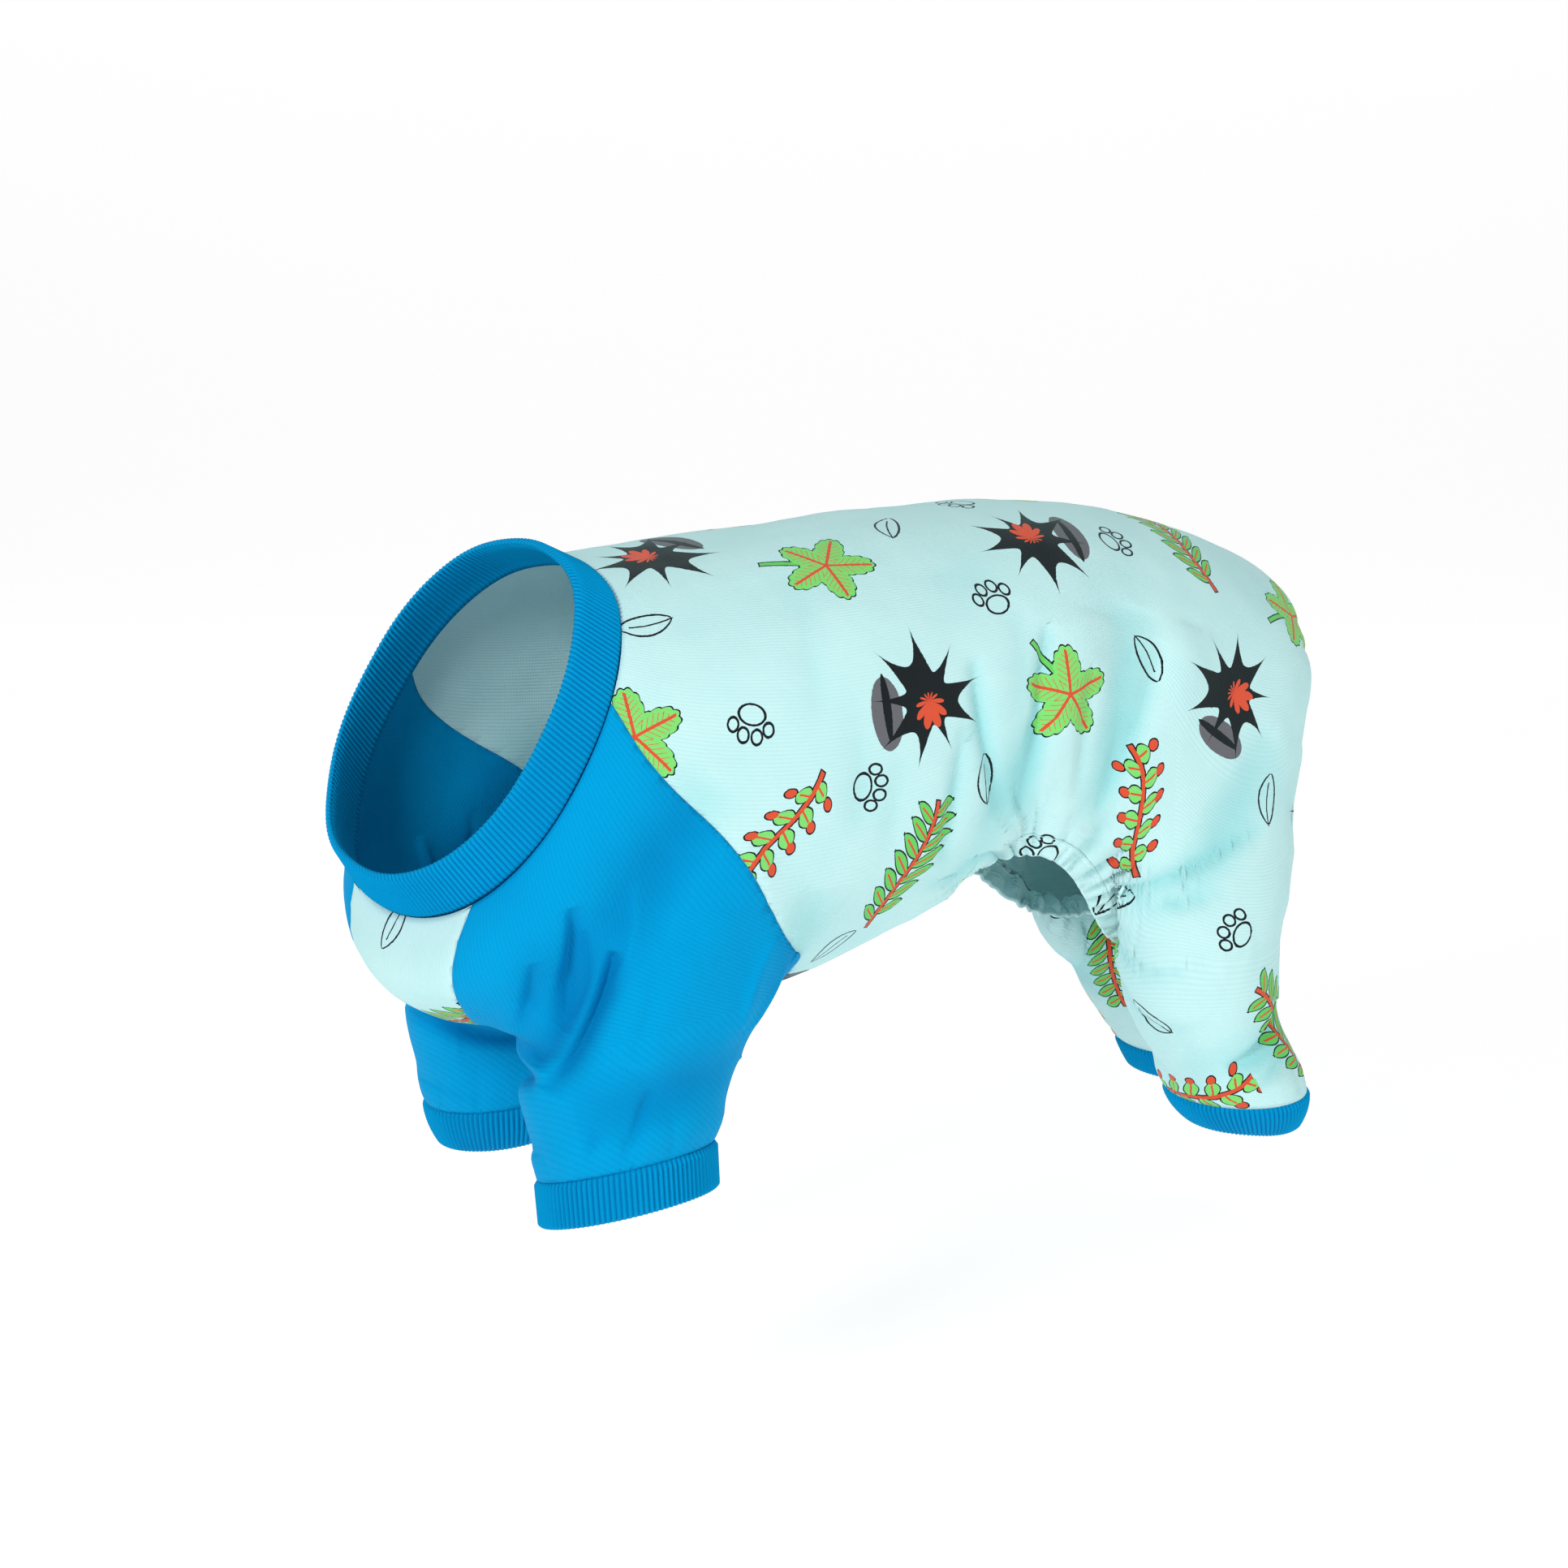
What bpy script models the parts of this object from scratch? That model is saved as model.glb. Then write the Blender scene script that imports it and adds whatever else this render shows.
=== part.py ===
"""A jersey pet jumpsuit in its worn shape, hollow and open as the real one is.

Run it with: blender --background --python part.py
Metres, +Z up. The neck is towards -X, the tail end towards +X, and the left side, called near here,
is at -Y. The origin is the point inside the back panel where the middle of the back carries it.

One smooth sheet is made from tables of sections: a trunk with four legs and an elastic opening from
the belly to the tail. The sheet is cut along the seam lines into panels, and each panel is
thickened inwards. The bands, cuffs and the elastic hem follow the sheet's open edges.
"""

import math

import bpy
import numpy as np

# Overall sizes of the worn jumpsuit, in metres.
TRUNK_LENGTH = 0.43
TRUNK_DEPTH = 0.19
TRUNK_WIDTH = 0.162
FRONT_LEG_LENGTH = 0.235
HIND_LEG_LENGTH = 0.252
LEG_SPREAD = 0.1
FRONT_SLEEVE_WIDTH = 0.076
HIND_LEG_WIDTH = 0.112
HIND_STRIDE = 0.054
HIND_STRIDE_DROP = 0.012
# How far down a hind leg the stride starts, and how much the near sleeve's outer side is raised.
STRIDE_START = 0.45
NEAR_SLEEVE_LEAN = 0.25

# Cloth and seams, in metres.
JERSEY_THICKNESS = 0.0016
RIB_THICKNESS = 0.0024
SEAM_GAP = 0.0004
NECKBAND_WIDTH = 0.019
FRONT_CUFF_HEIGHT = 0.018
HIND_CUFF_HEIGHT = 0.016
HEM_WIDTH = 0.009
HEM_THICKNESS = 0.0020
HEM_RUFFLE = 0.0018

# How squarely a trunk section is rounded: 2 is an ellipse, more is squarer.
SECTION_SQUARENESS = 2.2
# Subdivision of the control cage.
LEVEL = 1

# The cage has ROWS + 1 rings from neck to tail, and COLUMNS columns from spine to belly on each side.
ROWS = 18
COLUMNS = 10
OPENING_ROW = 9
EDGE_COLUMN = 9

# The neck ring is turned towards the near side, in degrees, and the turn fades out by a row.
NECK_TURN = 14
NECK_TURN_END = 5

# Trunk sections. x and z are shares of TRUNK_LENGTH and TRUNK_DEPTH from the origin, width is a
# share of TRUNK_WIDTH, and end is the angle from the spine, in degrees, where the cloth ends.
TRUNK = (
    # row, top_x, top_z, bottom_x, bottom_z, width, end
    (0, -0.377, -0.066, -0.568, -0.745, 0.40, 180),
    (1, -0.328, -0.052, -0.588, -0.855, 0.45, 180),
    (2, -0.279, -0.038, -0.565, -0.935, 0.48, 180),
    (4, -0.186, -0.016, -0.455, -1.020, 0.51, 180),
    (6, -0.105, 0.002, -0.340, -1.050, 0.52, 180),
    (8, 0.012, 0.014, -0.160, -0.960, 0.50, 180),
    (9, 0.058, 0.014, -0.037, -0.855, 0.49, 180),
    (10, 0.105, 0.007, -0.023, -0.806, 0.48, 140),
    (11, 0.151, -0.004, -0.010, -0.930, 0.48, 118),
    (12, 0.198, -0.020, 0.076, -0.930, 0.475, 136),
    (13, 0.244, -0.045, 0.155, -1.025, 0.47, 157),
    (15, 0.333, -0.118, 0.262, -1.010, 0.44, 165),
    (16, 0.372, -0.168, 0.331, -0.806, 0.37, 162),
    (17, 0.397, -0.230, 0.361, -0.618, 0.28, 155),
    (18, 0.410, -0.316, 0.372, -0.481, 0.18, 140),
)

# Leg sections, from the trunk down to the cuff. x is a share of TRUNK_LENGTH, drop a share of the
# leg's length below the origin, spread a share of LEG_SPREAD, length and width shares of the leg's
# width, and slope is the rise of the section towards the tail.
FRONT_LEG = (
    # x, drop, spread, length, width, slope
    (-0.378, 0.800, 0.54, 1.47, 0.98, 0.20),
    (-0.394, 0.890, 0.55, 1.10, 0.86, 0.12),
    (-0.399, 1.000, 0.54, 0.95, 0.80, 0.10),
)
HIND_LEG = (
    # x, drop, spread, length, width, slope
    (0.232, 0.790, 0.53, 0.67, 0.56, 0.06),
    (0.248, 0.860, 0.53, 0.60, 0.56, 0.02),
    (0.269, 0.930, 0.53, 0.56, 0.59, 0.02),
    (0.287, 1.000, 0.53, 0.53, 0.62, 0.05),
)

# The cage faces that each leg grows from: first and last row, and outer and inner column.
FRONT_HOLE = (3, 7, 6, 9)
HIND_HOLE = (12, 16, 5, 8)

# Seam lines on the cage: the chest panel's edge as column by row, and the raglan seam behind the
# shoulder as row by column.
CHEST_EDGE = ((0, 8.2), (2, 8.8), (3.2, 9.3), (7.4, 9.3), (8.2, 8.7), (9, 8.5), (11, 9.4))
RAGLAN_SEAM = (
    (3.9, -0.8), (4.4, 0.7), (5.2, 3.5), (5.8, 5.1), (6.1, 5.6),
    (6.6, 5.75), (6.95, 5.75), (7.8, 6.8), (8.4, 7.1), (9.6, 7.15),
)
CAGE_PITCH = TRUNK_LENGTH / ROWS
# How far down a hind leg, in rings, its panel is joined to the body panel.
THIGH_SEAM = 0.92

# Main folds of the cloth, drawn on the side view and the same on both sides. Places are shares of
# TRUNK_LENGTH and TRUNK_DEPTH, width and height are shares of FOLD_WIDTH and FOLD_HEIGHT, and a
# fold with a height below zero is a groove.
FOLD_WIDTH = 0.014
FOLD_HEIGHT = 0.004
FOLDS = (
    # from_x, from_z, to_x, to_z, width, height
    (0.010, -0.70, 0.070, -0.20, 1.00, 0.75),
    (0.060, -0.66, 0.130, -0.20, 1.00, -1.00),
    (0.110, -0.72, 0.190, -0.25, 1.00, 1.00),
    (0.160, -0.86, 0.290, -0.50, 1.00, -0.75),
    (0.200, -0.98, 0.350, -0.78, 0.93, 0.75),
    (-0.055, -0.78, 0.000, -0.40, 1.00, -0.75),
    (-0.480, -0.92, -0.340, -0.45, 0.93, -0.75),
    (-0.440, -0.98, -0.290, -0.62, 0.86, 0.75),
    (-0.290, -1.05, -0.230, -0.70, 0.93, -0.75),
    (-0.470, -1.10, -0.300, -1.02, 0.86, -0.75),
    (0.200, -1.24, 0.350, -1.14, 0.86, -0.75),
)

AQUA = (0.49, 0.86, 0.84, 1.0)
BLUE = (0.0, 0.36, 0.75, 1.0)


def smooth_lookup(at, known, values):
    """Values between the known places, on a smooth curve that doesn't overshoot."""
    known, values = np.asarray(known, float), np.asarray(values, float)
    step = np.diff(known)
    rise = np.diff(values) / step
    slope = np.concatenate([[rise[0]], np.zeros(len(rise) - 1), [rise[-1]]])
    for i in range(1, len(rise)):
        if rise[i - 1] * rise[i] > 0:
            before, after = step[i - 1], step[i]
            weights = (2 * after + before, after + 2 * before)
            slope[i] = sum(weights) / (weights[0] / rise[i - 1] + weights[1] / rise[i])
    at = np.asarray(at, float)
    i = np.clip(np.searchsorted(known, at) - 1, 0, len(step) - 1)
    t = (at - known[i]) / step[i]
    inside = (t >= 0) & (t <= 1)
    t = np.clip(t, 0, 1)
    hermite = (
        (1 + 2 * t) * (1 - t) ** 2 * values[i]
        + t * (1 - t) ** 2 * step[i] * slope[i]
        + t**2 * (3 - 2 * t) * values[i + 1]
        + t**2 * (t - 1) * step[i] * slope[i + 1]
    )
    outside = np.where(at < known[0], (at - known[0]) * slope[0], (at - known[-1]) * slope[-1])
    return hermite + np.where(inside, 0.0, outside)


def trunk_point(row, column, side):
    """A point of the trunk. Column 0 is the spine and COLUMNS the belly's midline, and side is -1
    for the near side and 1 for the far one."""
    stations = [line[0] for line in TRUNK]
    top_x, top_z, bottom_x, bottom_z, width, end = (
        float(smooth_lookup(row, stations, [line[i] for line in TRUNK])) for i in range(1, 7)
    )
    top = np.array([top_x * TRUNK_LENGTH, 0, top_z * TRUNK_DEPTH])
    bottom = np.array([bottom_x * TRUNK_LENGTH, 0, bottom_z * TRUNK_DEPTH])
    last = COLUMNS if row <= OPENING_ROW else EDGE_COLUMN
    angle = math.radians(end) * column / last
    power = 2 / SECTION_SQUARENESS
    up = math.copysign(abs(math.cos(angle)) ** power, math.cos(angle))
    out = side * width * TRUNK_WIDTH * abs(math.sin(angle)) ** power
    middle = (top + bottom) / 2
    arm = (top - bottom) / 2 * up + np.array([0, out, 0])
    turn = math.radians(NECK_TURN) * max(0, 1 - row / NECK_TURN_END)
    turned_x = arm[0] * math.cos(turn) - arm[1] * math.sin(turn)
    turned_y = arm[0] * math.sin(turn) + arm[1] * math.cos(turn)
    return middle + np.array([turned_x, turned_y, arm[2]])


def leg_rings(table, leg_length, leg_width, count, side, stride, stride_drop, lean):
    """The rings of a leg, from the top one down. Point 0 is beside the front of the outer edge."""
    rings = []
    for x, drop, spread, length, width, slope in table:
        share = (drop - STRIDE_START) / (1 - STRIDE_START)
        centre = np.array(
            [
                x * TRUNK_LENGTH + stride * share,
                side * spread * LEG_SPREAD,
                -drop * leg_length - stride_drop * share,
            ]
        )
        ring = []
        for i in range(count):
            angle = 2 * math.pi * (i - 1.5) / count
            ahead = -length * leg_width / 2 * math.cos(angle)
            inward = width * leg_width / 2 * math.sin(angle)
            ring.append(centre + np.array([ahead, -side * inward, ahead * slope - inward * lean]))
        rings.append(ring)
    return rings


def hole_loop(hole):
    """The cage corners round a leg's hole, as (row, column): front edge inwards, then on round."""
    first, last, outer, inner = hole
    loop = [(first, column) for column in range(outer, inner)]
    loop += [(row, inner) for row in range(first, last)]
    loop += [(last, column) for column in range(inner, outer, -1)]
    loop += [(row, outer) for row in range(last, first, -1)]
    return loop


def in_hole(hole, row, column):
    first, last, outer, inner = hole
    return first <= row < last and outer <= column < inner


def cage():
    """The control cage: points, charts and quads. A chart is (row, column, how far down a leg)."""
    points, charts, quads, index = [], [], [], {}

    def corner(row, column, side):
        if column in (0, COLUMNS):
            side = -1
        key = (row, column, side)
        if key not in index:
            index[key] = len(points)
            points.append(trunk_point(row, column, side))
            charts.append((row, column, 0))
        return index[key]

    def add_quad(corners, side):
        quads.append(corners if side < 0 else corners[::-1])

    for side in (-1, 1):
        for row in range(ROWS):
            for column in range(COLUMNS):
                opened = row >= OPENING_ROW and column >= EDGE_COLUMN
                if opened or in_hole(FRONT_HOLE, row, column) or in_hole(HIND_HOLE, row, column):
                    continue
                around = ((0, 0), (0, 1), (1, 1), (1, 0))
                add_quad([corner(row + r, column + c, side) for r, c in around], side)
        front = (FRONT_HOLE, FRONT_LEG, FRONT_LEG_LENGTH, FRONT_SLEEVE_WIDTH, 0, 0, NEAR_SLEEVE_LEAN)
        hind = (HIND_HOLE, HIND_LEG, HIND_LEG_LENGTH, HIND_LEG_WIDTH, HIND_STRIDE, HIND_STRIDE_DROP, 0)
        for hole, table, leg_length, leg_width, stride, drop, lean in (front, hind):
            loop = hole_loop(hole)
            above = [corner(row, column, side) for row, column in loop]
            centre = ((hole[0] + hole[1]) / 2, (hole[2] + hole[3]) / 2)
            moved = (stride, drop, 0) if side > 0 else (0, 0, lean)
            rings = leg_rings(table, leg_length, leg_width, len(loop), side, *moved)
            for depth, ring in enumerate(rings, 1):
                below = list(range(len(points), len(points) + len(ring)))
                points.extend(ring)
                charts.extend([(*centre, depth)] * len(ring))
                for i in range(len(ring)):
                    after = (i + 1) % len(ring)
                    add_quad([above[i], above[after], below[after], below[i]], side)
                above = below
    return np.array(points), np.array(charts, float), quads


def smoothed_sheet():
    """The cage subdivided into a smooth sheet, with its normals, charts and faces."""
    points, charts, quads = cage()
    mesh = bpy.data.meshes.new("cage")
    mesh.from_pydata([tuple(p) for p in points], [], quads)
    chart = mesh.attributes.new("chart", "FLOAT_VECTOR", "POINT")
    chart.data.foreach_set("vector", charts.astype(np.float32).ravel())
    helper = bpy.data.objects.new("cage", mesh)
    bpy.context.scene.collection.objects.link(helper)
    subdivide = helper.modifiers.new("Subdivision", "SUBSURF")
    subdivide.levels = subdivide.render_levels = LEVEL
    smooth = helper.evaluated_get(bpy.context.evaluated_depsgraph_get()).to_mesh()
    count = len(smooth.vertices)
    found = {}
    for name, source, field in (
        ("points", smooth.vertices, "co"),
        ("normals", smooth.vertices, "normal"),
        ("charts", smooth.attributes["chart"].data, "vector"),
    ):
        values = np.empty(count * 3, np.float32)
        source.foreach_get(field, values)
        found[name] = values.reshape(-1, 3).astype(float)
    found["faces"] = [tuple(face.vertices) for face in smooth.polygons]
    found["points"] += found["normals"] * fold_heights(found["points"])[:, None]
    bpy.data.objects.remove(helper)
    bpy.data.meshes.remove(mesh)
    return found


def fold_heights(points):
    """How far the folds lift the cloth at each point."""
    lift = np.zeros(len(points))
    for from_x, from_z, to_x, to_z, width, height in FOLDS:
        start = np.array([from_x * TRUNK_LENGTH, from_z * TRUNK_DEPTH])
        end = np.array([to_x * TRUNK_LENGTH, to_z * TRUNK_DEPTH])
        step = end - start
        flat = points[:, [0, 2]] - start
        along = flat @ step / (step @ step)
        across = (flat[:, 0] * step[1] - flat[:, 1] * step[0]) / math.hypot(*step)
        ends = np.clip(1 - np.abs(2 * along - 1), 0, 1)
        height_there = height * FOLD_HEIGHT * np.sin(math.pi / 2 * ends) ** 2
        lift += height_there * np.exp(-((across / (width * FOLD_WIDTH)) ** 2))
    outwards = np.clip(np.abs(points[:, 1]) / (TRUNK_WIDTH * 0.3), 0, 1)
    return lift * outwards


def clipped(sheet, value):
    """The part of a sheet where value, one number for each point, is above zero."""
    layers = ("points", "normals", "charts")
    rows = {name: list(sheet[name]) for name in layers}
    crossings = {}

    def crossing(a, b):
        key = (min(a, b), max(a, b))
        if key not in crossings:
            share = value[key[0]] / (value[key[0]] - value[key[1]])
            for name in layers:
                low, high = sheet[name][key[0]], sheet[name][key[1]]
                rows[name].append(low + (high - low) * share)
            crossings[key] = len(rows["points"]) - 1
        return crossings[key]

    faces = []
    for face in sheet["faces"]:
        inside = [value[v] > 0 for v in face]
        if not any(inside):
            continue
        kept = []
        for i, v in enumerate(face):
            after = (i + 1) % len(face)
            if inside[i]:
                kept.append(v)
            if inside[i] != inside[after]:
                kept.append(crossing(v, face[after]))
        faces.append(tuple(kept))
    used = sorted({v for face in faces for v in face})
    renumbered = {old: new for new, old in enumerate(used)}
    made = {name: np.array(rows[name])[used] for name in layers}
    made["normals"] /= np.linalg.norm(made["normals"], axis=1)[:, None]
    made["faces"] = [tuple(renumbered[v] for v in face) for face in faces]
    return made


def with_faces(sheet, faces):
    """The sheet with only some of its faces."""
    used = sorted({v for face in faces for v in face})
    renumbered = {old: new for new, old in enumerate(used)}
    made = {name: sheet[name][used] for name in ("points", "normals", "charts")}
    made["faces"] = [tuple(renumbered[v] for v in face) for face in faces]
    return made


def one_side(sheet, side):
    """The faces of a sheet on the near side, -1, or the far side, 1."""
    faces = [f for f in sheet["faces"] if sheet["points"][list(f), 1].mean() * side > 0]
    return with_faces(sheet, faces)


def largest_piece(sheet):
    """The largest connected piece of a sheet."""
    group = list(range(len(sheet["points"])))

    def root(v):
        while group[v] != v:
            group[v] = group[group[v]]
            v = group[v]
        return v

    for face in sheet["faces"]:
        for v in face[1:]:
            group[root(v)] = root(face[0])
    roots = [root(face[0]) for face in sheet["faces"]]
    largest = max(set(roots), key=roots.count)
    return with_faces(sheet, [f for f, found in zip(sheet["faces"], roots) if found == largest])


def edge_loops(faces):
    """The open edges of a sheet as closed loops of points, walked with the cloth on the left."""
    sides = {(f[i], f[(i + 1) % len(f)]) for f in faces for i in range(len(f))}
    onward = {a: b for a, b in sides if (b, a) not in sides}
    loops = []
    while onward:
        start = next(iter(onward))
        loop, at = [start], onward.pop(start)
        while at != start:
            loop.append(at)
            at = onward.pop(at)
        loops.append(loop)
    return loops


def add_object(name, points, faces, material):
    mesh = bpy.data.meshes.new(name)
    mesh.from_pydata([tuple(p) for p in points], [], faces)
    mesh.materials.append(material)
    mesh.shade_smooth()
    mesh.set_sharp_from_angle(angle=math.radians(40))
    made = bpy.data.objects.new(name, mesh)
    bpy.context.scene.collection.objects.link(made)
    return made


def add_panel(name, sheet, thickness, material):
    """A panel of cloth: the sheet is its outer face, and its inner face lies thickness below."""
    count = len(sheet["points"])
    points = np.concatenate([sheet["points"], sheet["points"] - sheet["normals"] * thickness])
    faces = list(sheet["faces"]) + [tuple(v + count for v in face[::-1]) for face in sheet["faces"]]
    for loop in edge_loops(sheet["faces"]):
        for a, b in zip(loop, loop[1:] + loop[:1]):
            faces.append((b, a, a + count, b + count))
    return add_object(name, points, faces, material)


def add_band(name, sections, material):
    """A closed ring of cloth. Each section is one closed outline, and outlines follow the ring."""
    count, around = len(sections), len(sections[0])
    points = np.concatenate(sections)
    faces = []
    for i in range(count):
        after = (i + 1) % count
        for j in range(around):
            up = (j + 1) % around
            faces.append((i * around + j, after * around + j, after * around + up, i * around + up))
    corners = points[np.array(faces)]
    volume = np.einsum("ij,ij->", corners[:, 0], np.cross(corners[:, 1], corners[:, 2]))
    volume += np.einsum("ij,ij->", corners[:, 0], np.cross(corners[:, 2], corners[:, 3]))
    if volume < 0:
        faces = [face[::-1] for face in faces]
    return add_object(name, points, faces, material)


def fabric(name, colour):
    made = bpy.data.materials.new(name)
    made.use_nodes = True
    shader = made.node_tree.nodes["Principled BSDF"]
    shader.inputs["Base Color"].default_value = colour
    shader.inputs["Roughness"].default_value = 0.9
    shader.inputs["Metallic"].default_value = 0.0
    return made


def loop_frames(sheet, loop):
    """For each point of an open edge: its place, its normal, and the way out past the edge."""
    places = sheet["points"][loop]
    normals = sheet["normals"][loop]
    along = np.roll(places, -1, axis=0) - np.roll(places, 1, axis=0)
    outward = np.cross(along, normals)
    return places, normals, outward / np.linalg.norm(outward, axis=1)[:, None]


def axis_frames(sheet, loop, taper):
    """As loop_frames, for a ring round a limb or the neck: every point goes out along one axis,
    and leans in by taper for each unit that it goes."""
    places, normals, outward = loop_frames(sheet, loop)
    axis = outward.mean(axis=0)
    axis /= np.linalg.norm(axis)
    flat = normals - np.outer(normals @ axis, axis)
    flat /= np.linalg.norm(flat, axis=1)[:, None]
    return places, flat, axis - flat * taper


def add_cuff(name, sheet, loop, height, taper, material):
    """A folded rib band that carries on from an open edge."""
    places, flat, onward = axis_frames(sheet, loop, taper)
    bulge = RIB_THICKNESS * 0.25
    outline = (
        # share of the height, and how far inside the sheet's outer face
        (0.0, 0.0),
        (0.55, -bulge),
        (1.0, RIB_THICKNESS * 0.2),
        (1.0, RIB_THICKNESS),
        (0.0, RIB_THICKNESS),
    )
    sections = []
    for i in range(len(loop)):
        start = places[i] + onward[i] * SEAM_GAP
        sections.append(
            [start + onward[i] * height * share - flat[i] * inset for share, inset in outline]
        )
    return add_band(name, sections, material)


def distance_to_loop(points, places):
    """How far each point is from a closed line through the places."""
    starts, ends = places, np.roll(places, -1, axis=0)
    nearest = np.full(len(points), np.inf)
    for start, end in zip(starts, ends):
        step = end - start
        share = np.clip((points - start) @ step / (step @ step), 0, 1)
        gaps = np.linalg.norm(points - start - share[:, None] * step, axis=1)
        nearest = np.minimum(nearest, gaps)
    return nearest


def nearest_loop(sheet, loops, place):
    return min(loops, key=lambda loop: np.linalg.norm(sheet["points"][loop].mean(axis=0) - place))


def seam_fields(sheet):
    """How far inside the chest panel and inside a sleeve each point is, in metres along the cloth."""
    row, column = sheet["charts"][:, 0], sheet["charts"][:, 1]
    chest = column - smooth_lookup(row, *zip(*CHEST_EDGE))
    seam = smooth_lookup(column, *zip(*RAGLAN_SEAM))
    seam_slope = smooth_lookup(column + 0.5, *zip(*RAGLAN_SEAM)) - seam
    sleeve = (seam - row) / np.sqrt(1 + (2 * seam_slope) ** 2)
    return chest * CAGE_PITCH, np.minimum(-chest, sleeve) * CAGE_PITCH


def thigh_field(sheet):
    """How far below the thigh seam each point is, in metres along the cloth."""
    hind = sheet["charts"][:, 0] > OPENING_ROW
    depth = np.where(hind, sheet["charts"][:, 2], 0) - THIGH_SEAM
    legs = clipped(sheet, depth)
    nearest = np.full(len(depth), np.inf)
    for loop in edge_loops(legs["faces"]):
        if legs["charts"][loop, 2].max() < THIGH_SEAM + 0.01:
            nearest = np.minimum(nearest, distance_to_loop(sheet["points"], legs["points"][loop]))
    return nearest * np.sign(depth)


def clear_scene():
    for obj in list(bpy.data.objects):
        bpy.data.objects.remove(obj)


def main():
    clear_scene()
    aqua, blue = fabric("aqua_jersey", AQUA), fabric("blue_jersey", BLUE)
    blue_rib = fabric("blue_rib", BLUE)
    whole = smoothed_sheet()
    loops = edge_loops(whole["faces"])
    neck_middle = (trunk_point(0, 0, 1) + trunk_point(0, COLUMNS, 1)) / 2
    neck = nearest_loop(whole, loops, neck_middle)
    cuffs = {}
    for side, word in ((-1, "near"), (1, "far")):
        moved = (HIND_STRIDE, HIND_STRIDE_DROP) if side > 0 else (0, 0)
        for leg, table, leg_length, shift in (
            ("front", FRONT_LEG, FRONT_LEG_LENGTH, (0, 0)),
            ("hind", HIND_LEG, HIND_LEG_LENGTH, moved),
        ):
            end = (table[-1][0] * TRUNK_LENGTH + shift[0], side * LEG_SPREAD / 2, -leg_length - shift[1])
            cuffs[f"{leg}_cuff_{word}"] = nearest_loop(whole, loops, np.array(end))
    opening = max(loops, key=len)

    add_cuff("neckband", whole, neck, NECKBAND_WIDTH, 0.3, blue_rib)
    for name, loop in cuffs.items():
        height = FRONT_CUFF_HEIGHT if name.startswith("front") else HIND_CUFF_HEIGHT
        add_cuff(name, whole, loop, height, 0.02, blue_rib)

    from_edge = distance_to_loop(whole["points"], whole["points"][opening])
    from_edge += HEM_WIDTH * whole["charts"][:, 2] * 4
    wave = HEM_RUFFLE * np.where(np.arange(len(opening)) % 2, 1, -1)
    whole["points"][opening] += whole["normals"][opening] * wave[:, None]
    add_panel("belly_hem", clipped(whole, HEM_WIDTH - from_edge), HEM_THICKNESS, aqua)
    cloth = clipped(whole, from_edge - HEM_WIDTH - 1.5 * SEAM_GAP)
    chest, sleeve = seam_fields(cloth)
    add_panel("chest_panel", clipped(cloth, chest - SEAM_GAP / 2), JERSEY_THICKNESS, aqua)
    sleeves = clipped(cloth, sleeve - SEAM_GAP / 2)
    for side, word in ((-1, "near"), (1, "far")):
        add_panel(f"sleeve_{word}", one_side(sleeves, side), JERSEY_THICKNESS, blue)
    body = clipped(cloth, -chest - SEAM_GAP / 2)
    _, sleeve = seam_fields(body)
    body = clipped(body, -sleeve - SEAM_GAP / 2)
    thigh = thigh_field(body)
    legs = clipped(body, thigh - SEAM_GAP / 2)
    for side, word in ((-1, "near"), (1, "far")):
        add_panel(f"hind_leg_{word}", one_side(legs, side), JERSEY_THICKNESS, aqua)
    body = clipped(body, -thigh - SEAM_GAP / 2)
    add_panel("body_panel", largest_piece(body), JERSEY_THICKNESS, aqua)


main()
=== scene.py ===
"""The look of a jersey pet jumpsuit in its worn shape: cloth, ribs, gathers, print, light and camera.

Metres, +Z up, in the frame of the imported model: the neck towards -X, the left side, called near
here, at -Y, and the origin inside the middle of the back panel.
"""

import math

import bpy
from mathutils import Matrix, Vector
from mathutils.kdtree import KDTree
import numpy as np


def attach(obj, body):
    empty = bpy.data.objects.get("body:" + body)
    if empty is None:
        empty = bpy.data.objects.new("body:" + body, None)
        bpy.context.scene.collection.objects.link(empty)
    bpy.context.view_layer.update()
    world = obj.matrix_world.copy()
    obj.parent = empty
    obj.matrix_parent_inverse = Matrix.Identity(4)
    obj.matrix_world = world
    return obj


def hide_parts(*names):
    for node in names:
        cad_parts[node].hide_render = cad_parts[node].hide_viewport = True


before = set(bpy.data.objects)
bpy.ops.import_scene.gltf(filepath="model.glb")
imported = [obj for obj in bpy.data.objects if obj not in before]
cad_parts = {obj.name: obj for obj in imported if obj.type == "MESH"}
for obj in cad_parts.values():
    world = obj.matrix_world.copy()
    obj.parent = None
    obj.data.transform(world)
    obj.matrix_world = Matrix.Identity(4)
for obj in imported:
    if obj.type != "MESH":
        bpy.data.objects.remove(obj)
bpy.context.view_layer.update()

# Sizes and section tables of the worn jumpsuit, in metres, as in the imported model.
TRUNK_LENGTH = 0.43
TRUNK_DEPTH = 0.19
TRUNK_WIDTH = 0.162
FRONT_LEG_LENGTH = 0.235
HIND_LEG_LENGTH = 0.252
LEG_SPREAD = 0.1
FRONT_SLEEVE_WIDTH = 0.076
HIND_LEG_WIDTH = 0.112
HIND_STRIDE = 0.054
HIND_STRIDE_DROP = 0.012
STRIDE_START = 0.45
NEAR_SLEEVE_LEAN = 0.25
SECTION_SQUARENESS = 2.2
NECK_TURN = 14
NECK_TURN_END = 5
ROWS = 18
COLUMNS = 10
OPENING_ROW = 9
EDGE_COLUMN = 9
CAGE_PITCH = TRUNK_LENGTH / 18

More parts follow.
